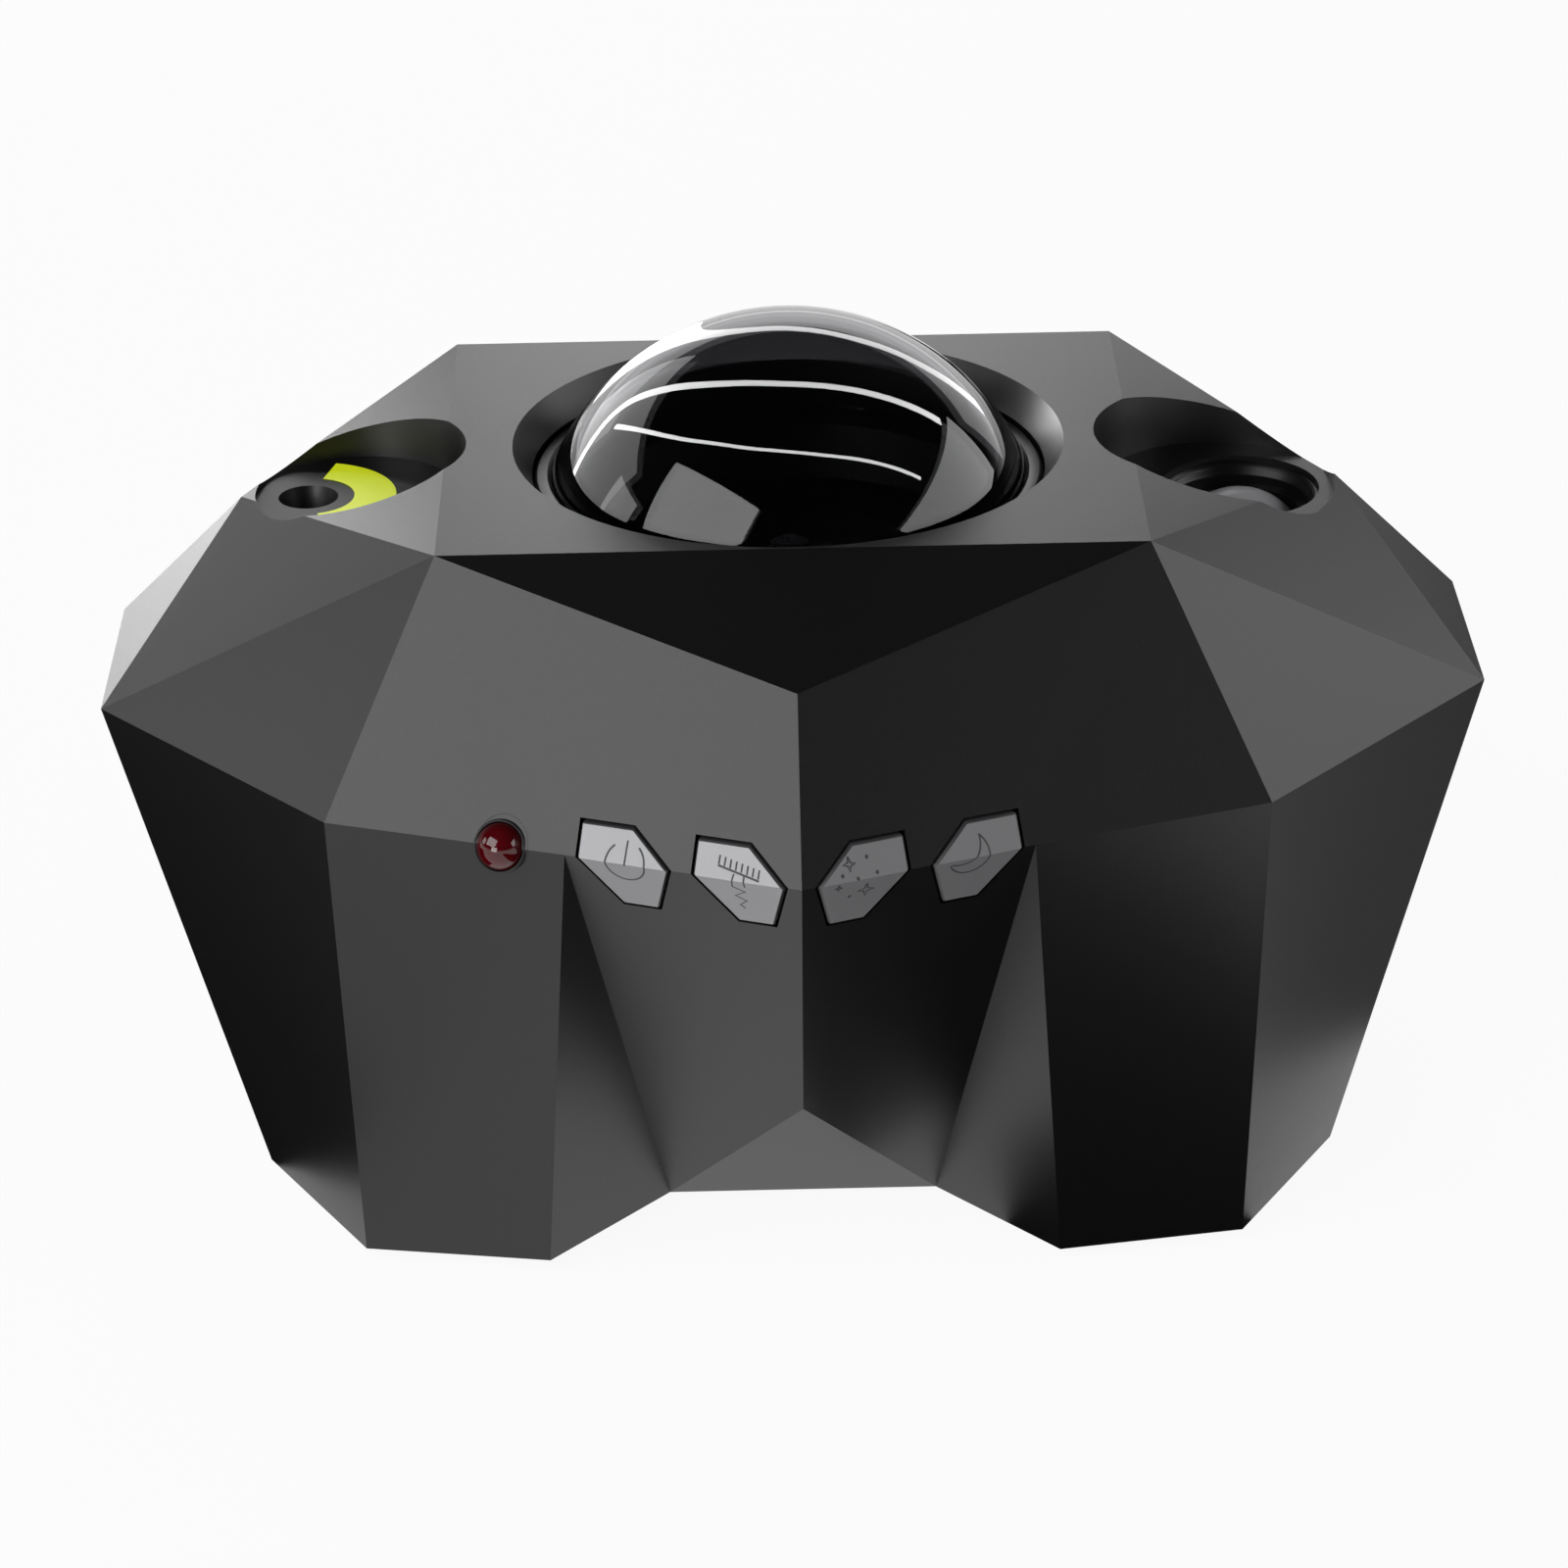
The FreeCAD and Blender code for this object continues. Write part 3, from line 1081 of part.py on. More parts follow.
def make_chassis():
    wide, deep, cut = CHASSIS_HALF_WIDTH, CHASSIS_HALF_DEPTH, CHASSIS_CORNER
    corner = [(wide, deep - cut), (wide - cut, deep)]
    points = [Vector(x, y, CHASSIS_Z) for x, y in corner]
    points += [Vector(-x, y, CHASSIS_Z) for x, y in reversed(corner)]
    points += [Vector(-x, -y, CHASSIS_Z) for x, y in corner]
    points += [Vector(x, -y, CHASSIS_Z) for x, y in reversed(corner)]
    plate = prism(points, UP * CHASSIS_THICKNESS)
    half = HEAT_SINK_SIDE / 2 + SLIDE_FIT
    cuts = [block(-half, half, -half, half, CHASSIS_Z - 1, CHASSIS_TOP + 1)]
    for x, y in CHASSIS_BOSSES:
        cuts.append(cylinder(SCREW_RADIUS + FIT, CHASSIS_Z - 1, CHASSIS_TOP + 1, x, y))
    for x, y in CASE_POSTS:
        cuts.append(cylinder(POST_RADIUS + RIB, CHASSIS_Z - 1, CHASSIS_TOP + 1, x, y))
    cuts.append(cylinder(LASER_BODY_RADIUS + FIT, CHASSIS_Z - 1, CHASSIS_TOP + 1, LASER_X))
    stand_top = BARREL_FOOT - LED_BOARD_THICKNESS
    stand = tube(MOON_BORE_RADIUS, MOON_BORE_RADIUS - BARREL_WALL, CHASSIS_Z, stand_top, MOON_X)
    node("chassis_plate", fused([plate.cut(cuts), stand]))


def screw(head_z, length, x, y):
    """A pan-head screw that points up, with its head under the given height."""
    head = cylinder(SCREW_HEAD_RADIUS, head_z - SCREW_HEAD, head_z, x, y)
    return fused([head, cylinder(SCREW_PILOT, head_z, head_z + length, x, y)])


def make_screws():
    reach = WAIST_Z + SCREW_BITE - POST_SEAT_Z
    node("case_screws", Part.makeCompound([screw(POST_SEAT_Z, reach, x, y) for x, y in CASE_POSTS]))
    hold = CHASSIS_THICKNESS + SCREW_BITE
    chassis = [screw(CHASSIS_Z, hold, x, y) for x, y in CHASSIS_BOSSES]
    node("chassis_screws", Part.makeCompound(chassis))
    head = BASE_Z + COVER_RECESS + SCREW_HEAD
    reach = COVER_TOP + SCREW_BITE - head
    node("cover_screws", Part.makeCompound([screw(head, reach, x, y) for x, y in COVER_BOSSES]))


def board_places():
    return quarters(BOARD_WIDTH / 2 - BOARD_HOLE_INSET, BOARD_DEPTH / 2 - BOARD_HOLE_INSET)


def base_outline(inset):
    corners = casing_corners()
    points = distinct([corners[key] for key in BASE_RING])
    face = flat_face([Vector(p.x, p.y, BASE_Z + COVER_RECESS) for p in points])
    return face.makeOffset2D(-inset, 2)


def make_base():
    plate = base_outline(WALL + COVER_CLEARANCE).extrude(UP * COVER_THICKNESS)
    plate = plate.common(lower_hull(WALL + FIT).common(slab(BASE_Z, WAIST_Z)))
    parts = [plate]
    top = COVER_TOP + BOARD_STANDOFF
    for x, y in board_places():
        parts.append(cylinder(BOARD_STANDOFF_RADIUS, COVER_TOP - 1, top, x, y))
    cover = fused(parts)
    cuts = []
    for x, y in board_places():
        cuts.append(cylinder(SCREW_PILOT, top - SCREW_BITE / 2, top + 1, x, y))
    under = BASE_Z + COVER_RECESS
    for x, y in COVER_BOSSES:
        cuts.append(cylinder(SCREW_RADIUS + FIT, 0, COVER_TOP + 1, x, y))
        cuts.append(cylinder(SCREW_HEAD_RADIUS + FIT, 0, under + SCREW_HEAD, x, y))
    for x, y in quarters(FOOT_X, FOOT_Y):
        cuts.append(cylinder(FOOT_RADIUS + RUNNING_FIT, 0, under + FOOT_SINK, x, y))
    for slot in range(VENT_COUNT):
        x = (slot - (VENT_COUNT - 1) / 2) * VENT_PITCH
        half = VENT_LENGTH / 2
        cuts.append(block(x - VENT_WIDTH / 2, x + VENT_WIDTH / 2, -half, half, 0, COVER_TOP + 1))
    node("base_cover", cover.cut(cuts))
    for number, (x, y) in enumerate(quarters(FOOT_X, FOOT_Y)):
        name = "foot_" + ("right" if x > 0 else "left") + ("_back" if y > 0 else "_front")
        pad = cylinder(FOOT_RADIUS, FOOT_CHAMFER, under + FOOT_SINK, x, y)
        toe = cone(FOOT_RADIUS - FOOT_CHAMFER, FOOT_RADIUS, 0, FOOT_CHAMFER, x, y)
        node(name, fused([pad, toe]))


def make_main_board():
    low = COVER_TOP + BOARD_STANDOFF
    top = low + BOARD_THICKNESS
    wide, deep = BOARD_WIDTH / 2, BOARD_DEPTH / 2
    board = block(-wide, wide, -deep, deep, low, top)
    for x, y in board_places():
        board = board.cut(cylinder(SCREW_RADIUS + FIT, low - 1, top + 1, x, y))
    node("main_board", board)
    parts = [cylinder(CAPACITOR_RADIUS, top, top + CAPACITOR_HEIGHT, x, y) for x, y in CAPACITORS]
    for x, y, width, depth, height in BOARD_BLOCKS:
        half, half_deep = width / 2, depth / 2
        parts.append(block(x - half, x + half, y - half_deep, y + half_deep, top, top + height))
    node("board_components", Part.makeCompound(parts))
    screws = []
    for x, y in board_places():
        head = cylinder(SCREW_HEAD_RADIUS, top, top + SCREW_HEAD, x, y)
        shank = cylinder(SCREW_PILOT, low - SCREW_BITE / 2, top, x, y)
        screws.append(fused([head, shank]))
    node("board_screws", Part.makeCompound(screws))


def socket_frame():
    """The back wall's level frame at the power inlet, on the right of the back ridge."""
    corners = casing_corners()
    edge = EdgeFrame(corners["bow", 1, 1], corners["inner", 1, 1])
    drop = WAIST_HEIGHT - SOCKET_HEIGHT
    facet_corners = [corners[name, 1, 1] for name in ("inner", "bow", "notch")]
    wall = in_plane(*facet_corners, x=edge.at(SOCKET_OFFSET, 0, 0).x, z=WAIST_Z - drop)
    depth = (wall - edge.start).dot(edge.inward)
    along = (wall - edge.start).dot(edge.along)
    return edge, along, -drop, depth


def socket_cuts():
    frame, along, up, depth = socket_frame()
    face = depth + SOCKET_FACE_SINK
    spot = frame.rod(SOCKET_SPOT_RADIUS, along, up, depth - SOCKET_LENGTH, face)
    hole = frame.rod(SOCKET_BARREL_RADIUS + FIT, along, up, face, face + SOCKET_LENGTH)
    return [spot, hole]


def make_socket():
    frame, along, up, depth = socket_frame()
    face = depth + SOCKET_FACE_SINK
    flange = frame.rod(SOCKET_FLANGE_RADIUS, along, up, face - SOCKET_FLANGE, face)
    barrel = frame.rod(SOCKET_BARREL_RADIUS, along, up, face, face + SOCKET_LENGTH)
    bore_radius = SOCKET_BARREL_RADIUS - SOCKET_BARREL_WALL
    bore = frame.rod(bore_radius, along, up, face - SOCKET_FLANGE - 1, face + SOCKET_DEPTH)
    pin = frame.rod(SOCKET_PIN_RADIUS, along, up, face + SOCKET_PIN_INSET, face + SOCKET_DEPTH)
    node("power_socket", fused([fused([flange, barrel]).cut(bore), pin]))


def main():
    os.makedirs("parts", exist_ok=True)
    make_upper_shell()
    make_lower_shell()
    make_dome()
    make_laser_front()
    make_ripple()
    make_light_housing()
    make_light_engine()
    make_star_engine()
    make_moon_engine()
    make_chassis()
    for button in BUTTONS:
        make_button(*button)
        make_switch(*button)
    make_button_board("button_board_left", -1)
    make_button_board("button_board_right", 1)
    make_button_screws()
    make_receiver()
    make_base()
    make_main_board()
    make_socket()
    make_screws()


main()
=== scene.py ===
import json
import math

import bpy
from bpy.props import FloatProperty, FloatVectorProperty, IntProperty, PointerProperty, StringProperty
from mathutils import Matrix, Vector


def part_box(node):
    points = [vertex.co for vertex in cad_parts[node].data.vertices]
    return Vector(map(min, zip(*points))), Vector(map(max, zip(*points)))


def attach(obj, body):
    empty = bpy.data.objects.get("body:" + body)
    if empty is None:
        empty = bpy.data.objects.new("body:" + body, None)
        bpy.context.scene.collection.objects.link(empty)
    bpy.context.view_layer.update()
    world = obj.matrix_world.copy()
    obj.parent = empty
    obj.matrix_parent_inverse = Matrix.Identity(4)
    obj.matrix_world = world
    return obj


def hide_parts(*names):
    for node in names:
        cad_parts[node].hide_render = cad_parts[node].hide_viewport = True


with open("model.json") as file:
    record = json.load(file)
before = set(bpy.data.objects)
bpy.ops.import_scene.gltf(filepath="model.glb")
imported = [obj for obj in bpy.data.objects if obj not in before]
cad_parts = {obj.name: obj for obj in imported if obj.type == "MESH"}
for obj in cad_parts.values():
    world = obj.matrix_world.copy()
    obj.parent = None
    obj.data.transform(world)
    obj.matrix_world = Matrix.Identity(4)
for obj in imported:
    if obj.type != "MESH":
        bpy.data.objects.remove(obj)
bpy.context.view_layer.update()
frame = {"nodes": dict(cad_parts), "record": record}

bl_info = {
    "name": "Planetarium projector",
    "version": (1, 0, 0),
    "blender": (4, 5, 0),
    "location": "3D View > Sidebar > Projector",
    "description": "Dresses a faceted desktop planetarium projector: casing, dome, lenses, buttons and studio",
    "category": "Object",
}

MM = 0.001

# Casing corners on the right front, in metres, that the buttons and the receiver are set out from
ROOF_CORNER = Vector((0.0534, -0.0435, 0.114))
BOW_CORNER = Vector((0.0, -0.0864, 0.0787))
INNER_CORNER = Vector((0.0346, -0.0733, 0.0787))
OUTER_CORNER = Vector((0.0706, -0.0609, 0.0787))
NOTCH_CORNER = Vector((0.0211, -0.0406, 0.002))

# How far the button solids stand above the casing, and how deep behind the bow their bent faces reach
CAD_PROUD = 0.0006
FACE_DEPTH = 0.006

# Widest turn between faces that still counts as one smooth surface, and the weld between loose triangles
SMOOTH_TURN = math.radians(11)
WELD = 2e-6
# Turns that keep the bends between facets sharp, and that smooth turned trim but keep its edges
FACET_TURN = math.radians(5)
TRIM_TURN = math.radians(25)

# The turn past which a button's edge is chamfered, and how squarely a face must look forward to stay silver: faces
# that turn further take dark grey as painted shade
KEY_EDGE_TURN = math.radians(57)
SIDE_SHADE_LIMIT = 0.995
# How high a symbol's bead stands, as a share of its round section
BEAD_RISE = 0.4

# How far the facets beside the receiver fall back above and below the waist edge, and how deep the sleeve sits
RECEIVER_SLOPES = (0.625, 0.119)
SLEEVE_DEPTH = 0.02 * MM

# Stage: the paper's radius, the point that the soft boxes look at, and the lowest and highest part of the
# sweep, where the world's gloss falls from white to the room's own level
WHITE = (1, 1, 1, 1)
FLOOR_RADIUS = 4.0
BOX_TARGET = Vector((0, 0, 0.07))
SWEEP_FOOT, SWEEP_TOP, ROOM_LEVEL = 0.02, 0.12, 0.015
SENSOR_WIDTH = 36.0


def linear(hex_colour):
    """A colour as the shaders take it, from its sRGB hex value."""
    parts = [int(hex_colour.lstrip("#")[i:i + 2], 16) / 255 for i in (0, 2, 4)]
    lit = [p / 12.92 if p <= 0.04045 else ((p + 0.055) / 1.055) ** 2.4 for p in parts]
    return (*lit, 1.0)


# Settings, shown in the panel


class CasingSettings(bpy.types.PropertyGroup):
    colour: StringProperty(name="Casing colour", description="sRGB hex of the moulded casing", default="#0e0e0f")
    roughness: FloatProperty(name="Casing roughness", description="Gloss of the moulded skin", default=0.38,
                             min=0.0, max=1.0, subtype="FACTOR")
    grain: FloatProperty(name="Casing grain", description="Pitch of the spark-eroded grain, in metres",
                         default=0.00035, unit="LENGTH", precision=5)


class DomeSettings(bpy.types.PropertyGroup):
    radius: FloatProperty(name="Dome radius", description="Outer radius of the dome's skirt", default=0.0369,
                          unit="LENGTH", precision=5)
    shoulder: FloatProperty(name="Dome shoulder", description="Height where the skirt turns into the cap",
                            default=0.110, unit="LENGTH", precision=5)
    wall: FloatProperty(name="Dome wall", description="Thickness of the dome's wall", default=0.0026,
                        unit="LENGTH", precision=5)
    steps: IntProperty(name="Steps round", description="Faces round the dome", default=160, min=24, max=512)


class ButtonSettings(bpy.types.PropertyGroup):
    colour: StringProperty(name="Button colour", description="sRGB hex of the painted buttons", default="#8f8f91")
    # Dark grey of the symbols' print, also used as painted shade on the buttons' sides and chamfers
    ink_and_side_shade: StringProperty(name="Symbol colour", description="sRGB hex of the symbols and the buttons' sides",
                        default="#38383a")
    edge: FloatProperty(name="Button edge", description="Width of the chamfer round a button",
                        default=0.0004, unit="LENGTH", precision=5)
    proud: FloatProperty(name="Button rise", description="How far a button's face stands above the casing",
                         default=0.00025, unit="LENGTH", precision=5)
    line: FloatProperty(name="Symbol line", description="Half width of a symbol's line", default=0.00014,
                        unit="LENGTH", precision=5)


class LensSettings(bpy.types.PropertyGroup):
    red: StringProperty(name="Receiver colour", description="sRGB hex of the receiver window", default="#860d1a")
    yellow: StringProperty(name="Label colour", description="sRGB hex of the laser mouth's arc", default="#d7e61e")
    moon_x: FloatProperty(name="Moon lens X", description="Middle of the moon lens", default=0.071,
                          unit="LENGTH", precision=5)
    laser_x: FloatProperty(name="Laser X", description="Middle of the laser mouth", default=-0.0754,
                           unit="LENGTH", precision=5)


class StageSettings(bpy.types.PropertyGroup):
    lens: FloatProperty(name="Camera lens", description="Focal length on a 36 mm wide picture, in mm",
                        default=120.1, min=10, max=300)
    distance: FloatProperty(name="Camera distance", description="From the base's middle, along the view",
                            default=0.86709, unit="LENGTH", precision=5)
    pitch: FloatProperty(name="Camera pitch", description="How far the camera looks down",
                         default=math.radians(25.95), subtype="ANGLE")
    yaw: FloatProperty(name="Camera yaw", description="How far round the camera stands",
                       default=math.radians(-0.52), subtype="ANGLE")
    roll: FloatProperty(name="Camera roll", description="Tilt of the camera about its view",
                        default=math.radians(-0.99), subtype="ANGLE")
    offset: FloatVectorProperty(name="Camera offset", description="Sideways and upwards step of the camera",
                                default=(-0.00234, 0.04658), size=2, subtype="XYZ", unit="LENGTH", precision=5)
    floor: StringProperty(name="Floor colour", description="sRGB hex of the floor", default="#f4f4f4")
    glow: FloatProperty(name="Floor glow", description="Share of the floor that shows plain white", default=0.93,
                        min=0.0, max=1.0, subtype="FACTOR")


# Materials


def add(tree, kind, values=None, links=None, **settings):
    """Adds one node, with its settings, the values of its inputs, and what feeds its inputs."""
    made = tree.nodes.new(kind)
    for name, value in settings.items():
        setattr(made, name, value)
    for name, value in (values or {}).items():
        made.inputs[name].default_value = value
    for name, source in (links or {}).items():
        tree.links.new(source, made.inputs[name])
    return made


def blank(name):
    """A new material with nothing but its output."""
    made = bpy.data.materials.new(name)
    made.use_nodes = True
    made.node_tree.nodes.clear()
    return made, made.node_tree, made.node_tree.nodes.new("ShaderNodeOutputMaterial")


def finish_of(name, colour, roughness, grain, bump=0.1, drift=0.12, spread=0.05, **values):
    """An opaque finish: its colour drifts a little over centimetres, and its gloss and bump follow the grain.

    grain is the pitch of the surface's texture in metres, and bump the strength of its relief.
    """
    material, tree, output = blank(name)
    place = add(tree, "ShaderNodeTexCoord").outputs["Object"]
    broad = add(tree, "ShaderNodeTexNoise", {"Scale": 25.0, "Detail": 2.0}, {"Vector": place})
    fine = add(tree, "ShaderNodeTexNoise", {"Scale": 1 / grain, "Detail": 3.0}, {"Vector": place})
    low = [c * (1 - drift) for c in linear(colour)[:3]] + [1.0]
    high = [min(1.0, c * (1 + drift)) for c in linear(colour)[:3]] + [1.0]
    tint = add(tree, "ShaderNodeMix", {6: low, 7: high}, {0: broad.outputs["Fac"]}, data_type="RGBA")
    gloss = add(tree, "ShaderNodeMapRange", {"To Min": roughness - spread, "To Max": roughness + spread},
                {"Value": fine.outputs["Fac"]})
    relief = add(tree, "ShaderNodeBump", {"Strength": bump, "Distance": 0.0001}, {"Height": fine.outputs["Fac"]})
    surface = add(tree, "ShaderNodeBsdfPrincipled", values, {
        "Base Color": tint.outputs[2], "Roughness": gloss.outputs["Result"], "Normal": relief.outputs["Normal"]})
    tree.links.new(surface.outputs["BSDF"], output.inputs["Surface"])
    return material


def clear_of(name, colour, ior, roughness, grain=0.004, bump=0.02, **values):
    """A clear finish: polished, with the slow ripple that moulding leaves in it."""
    material, tree, output = blank(name)
    place = add(tree, "ShaderNodeTexCoord").outputs["Object"]
    flow = add(tree, "ShaderNodeTexNoise", {"Scale": 1 / grain, "Detail": 1.0}, {"Vector": place})
    gloss = add(tree, "ShaderNodeMapRange", {"To Min": roughness, "To Max": roughness + 0.02},
                {"Value": flow.outputs["Fac"]})
    relief = add(tree, "ShaderNodeBump", {"Strength": bump, "Distance": 0.0001}, {"Height": flow.outputs["Fac"]})
    surface = add(tree, "ShaderNodeBsdfPrincipled",
                  {"Base Color": linear(colour), "IOR": ior, "Transmission Weight": 1.0, **values},
                  {"Roughness": gloss.outputs["Result"], "Normal": relief.outputs["Normal"]})
    tree.links.new(surface.outputs["BSDF"], output.inputs["Surface"])
    return material


MATERIALS = {}


def make_materials():
    """Every finish, by the name that the pieces ask for."""
    scene = bpy.context.scene
    casing, lens, button = scene.projector_casing, scene.projector_lens, scene.projector_button
    made = {
        # ABS moulded in a spark-eroded tool: nearly black, with an even satin sheen that greys it at low angles
        "casing": finish_of("Moulded ABS, black", casing.colour, casing.roughness, casing.grain, 0.12, IOR=1.54),
        # The same ABS from a coarser tool, flatter because nobody sees it
        "cover": finish_of("Moulded ABS, matt black", "#161617", 0.55, 0.0006, 0.25, IOR=1.54),
        # Nitrile rubber, moulded: soft black with almost no highlight
        "rubber": finish_of("Nitrile rubber, black", "#121213", 0.75, 0.0005, 0.3, IOR=1.52),
        # Polycarbonate trim from a polished tool: deep black with a clear highlight
        "trim": finish_of("Moulded polycarbonate, black", "#0c0c0d", 0.34, 0.0008, 0.04, IOR=1.58),
        # ABS under silver-grey paint: the metal flake gives it a soft sheen of its own colour
        "silver": finish_of("Painted ABS, silver grey", button.colour, 0.42, 0.00022, 0.12, 0.05, 0.06,
                            Metallic=0.45, IOR=1.5),
        # Dark grey for the symbols' print, and on the buttons' silver sides and chamfers as painted shade
        "symbol": finish_of("Dark grey ink and painted side shade", button.ink_and_side_shade, 0.5, 0.0002, 0.1, IOR=1.54),
        # Anodised aluminium of the lens mount: matt black with a faint turned grain
        "anodised": finish_of("Anodised aluminium, black", "#101011", 0.36, 0.0002, 0.08, Metallic=0.4),
        # Acetal, moulded: smooth dark gears with a waxy highlight
        "acetal": finish_of("Moulded acetal, black", "#17171a", 0.35, 0.0008, 0.05, IOR=1.48),
        # Bright steel pins, clips and screws
        "steel": finish_of("Zinc-plated steel", "#b9babd", 0.28, 0.0003, 0.06, Metallic=1.0),
        # Drawn motor cans under nickel: a duller metal
        "can": finish_of("Nickel-plated steel, drawn", "#8f9094", 0.34, 0.0004, 0.08, Metallic=1.0),
        # Turned brass laser body
        "brass": finish_of("Turned brass", "#b9924c", 0.25, 0.0002, 0.06, Metallic=1.0),
        # Extruded aluminium heat sink, and the aluminium-backed lamp board
        "aluminium": finish_of("Extruded aluminium", "#b4b6ba", 0.36, 0.0004, 0.12, Metallic=1.0),
        # Epoxy-glass boards under green solder resist: glossy over a faint weave
        "board": finish_of("Solder resist on fibreglass, green", "#0d3d22", 0.3, 0.0005, 0.15, IOR=1.5),
        # Epoxy moulding compound of the packages
        "package": finish_of("Epoxy moulding compound", "#26262a", 0.5, 0.0003, 0.15, IOR=1.55),
        # Phosphor under silicone in the lamps
        "phosphor": finish_of("Phosphor in silicone", "#d8b53a", 0.4, 0.0002, 0.1, IOR=1.41),
        # Chassis of glass-filled nylon: dark, with a slightly fibrous skin
        "nylon": finish_of("Glass-filled nylon, black", "#0b0b0c", 0.55, 0.0004, 0.25, IOR=1.53),
        # Cast acrylic dome, polished on both sides, with a dark grey tint that is painted shade: it keeps the
        # inside black behind its gloss
        "acrylic": clear_of("Cast acrylic, tinted as painted shade", "#6e6e71", 1.49, 0.0, 0.02, 0.01),
        # Rippled acrylic lens under the dome
        "ripple": clear_of("Moulded acrylic, rippled", "#f4f8fa", 1.49, 0.03, 0.003, 0.3),
        # Float glass over the laser and in the slide
        "window": clear_of("Float glass", "#f2f7f5", 1.52, 0.0),
        # Coated optical glass of the condenser and the lamp lenses
        "optical": clear_of("Optical glass, coated", "#e8ecf0", 1.52, 0.02),
        # Moon lens, frosted inside: its dome looks an even grey
        "frosted": finish_of("Frosted glass, grey", "#a8a8ac", 0.3, 0.0004, 0.03, 0.03, IOR=1.52),
        # Dyed polycarbonate that passes infrared: deep red, glossy
        "red": clear_of("Dyed polycarbonate, red", lens.red, 1.58, 0.04, 0.003, 0.02,
                        **{"Transmission Weight": 0.75}),
        # Photographic film of the moon slide and grating
        "film": clear_of("Polyester film, grey", "#5a5a60", 1.6, 0.05),
        # Vinyl film of the arc beside the laser mouth: flat yellow-green, made brighter by a painted glow in its
        # own colour that stands in for light on it
        "vinyl": finish_of("Cast vinyl film, yellow, painted glow", lens.yellow, 0.4, 0.0006, 0.05, 0.04,
                           **{"IOR": 1.52, "Emission Color": linear(lens.yellow), "Emission Strength": 0.35}),
        "vinyl_edge": finish_of("Cast vinyl film, olive", "#6f7a12", 0.45, 0.0006, 0.05, IOR=1.52),
    }
    MATERIALS.update(made)


def dress(piece, finish):
    """Gives the piece one finish all over."""
    piece.data.materials.clear()
    piece.data.materials.append(MATERIALS[finish])
    for face in piece.data.polygons:
        face.material_index = 0


def dress_nodes(finishes):
    """Gives CAD nodes their finishes, by name."""
    for name, finish in finishes.items():
        dress(frame["nodes"][name], finish)


# Modelling


def deselect():
    if bpy.context.object and bpy.context.object.mode != "OBJECT":
        bpy.ops.object.mode_set(mode="OBJECT")
    bpy.ops.object.select_all(action="DESELECT")


def only(piece):
    """Makes the piece the one selected and active object."""
    deselect()
    piece.select_set(True)
    bpy.context.view_layer.objects.active = piece


def settle(piece, name):
    """Names a finished piece and puts its place into its mesh."""
    only(piece)
    bpy.ops.object.transform_apply(location=True, rotation=True, scale=True)
    piece.name = name
    piece.data.name = name
    return piece


def smooth(piece, turn=SMOOTH_TURN):
    only(piece)
    bpy.ops.object.shade_smooth_by_angle(angle=turn)


def rounded_over(piece, width, segments=2, angle=math.radians(30)):
    """Breaks the piece's sharp edges with an applied bevel."""
    only(piece)
    bevel = piece.modifiers.new("Edges", "BEVEL")
    bevel.width = width
    bevel.segments = segments
    bevel.limit_method = "ANGLE"
    bevel.angle_limit = angle
    bevel.use_clamp_overlap = True
    bpy.ops.object.modifier_apply(modifier=bevel.name)


def drawn(points):
    """A corner drawn out along the points into one open line of edges."""
    deselect()
    first = Vector(points[0])
    bpy.ops.mesh.primitive_plane_add(size=MM, location=first)
    line = bpy.context.object
    bpy.ops.object.mode_set(mode="EDIT")
    bpy.ops.mesh.merge(type="CENTER")
    for before, after in zip(points, points[1:]):
        step = Vector(after) - Vector(before)
        bpy.ops.mesh.extrude_vertices_move(TRANSFORM_OT_translate={"value": step})
    bpy.ops.object.mode_set(mode="OBJECT")
    return line


def turned(name, profile, steps=128, angle=math.tau, start=0.0, axis_x=0.0, turn=SMOOTH_TURN):
    """A turned piece: a profile of (radius, height) spun round an upright axis, with its own doubles merged."""
    line = drawn([(axis_x + r * math.cos(start), r * math.sin(start), z) for r, z in profile])
    bpy.ops.object.mode_set(mode="EDIT")
    bpy.ops.mesh.select_all(action="SELECT")
    bpy.ops.mesh.spin(steps=steps, angle=angle, center=(axis_x, 0, 0), axis=(0, 0, 1))
    bpy.ops.mesh.select_all(action="SELECT")
    bpy.ops.mesh.remove_doubles(threshold=WELD)
    if angle < math.tau:
        bpy.ops.mesh.select_all(action="DESELECT")
        bpy.ops.mesh.select_non_manifold()
        bpy.ops.mesh.edge_face_add()
        bpy.ops.mesh.select_all(action="SELECT")
    bpy.ops.mesh.normals_make_consistent(inside=False)
    bpy.ops.object.mode_set(mode="OBJECT")
    piece = settle(line, name)
    smooth(piece, turn)
    return piece


def arc(radius, height, bend, first, last, count):
    """Points of (radius, height) round a bend, between two angles in degrees."""
    angles = [math.radians(first + (last - first) * i / count) for i in range(count + 1)]
    return [(radius + bend * math.cos(a), height + bend * math.sin(a)) for a in angles]


def eased(corners, ease, count=3):
    """A closed profile whose corners are rounded by the ease."""
    points = []
    for i, corner in enumerate(corners):
        here = Vector(corner)
        before = (Vector(corners[i - 1]) - here).normalized() * ease
        after = (Vector(corners[(i + 1) % len(corners)]) - here).normalized() * ease
        for step in range(count + 1):
            t = step / count
            spot = here + before * (1 - t) ** 2 + after * t ** 2
            points.append((max(0.0, spot.x), spot.y))
    return points + [points[0]]


def aim(piece, mouth, axis):
    """Turns a piece made round Z, with its mouth at height 0, to lie along the axis from the mouth."""
    piece.matrix_world = Matrix.Translation(mouth) @ Vector(axis).to_track_quat("Z", "Y").to_matrix().to_4x4()
    return settle(piece, piece.name)


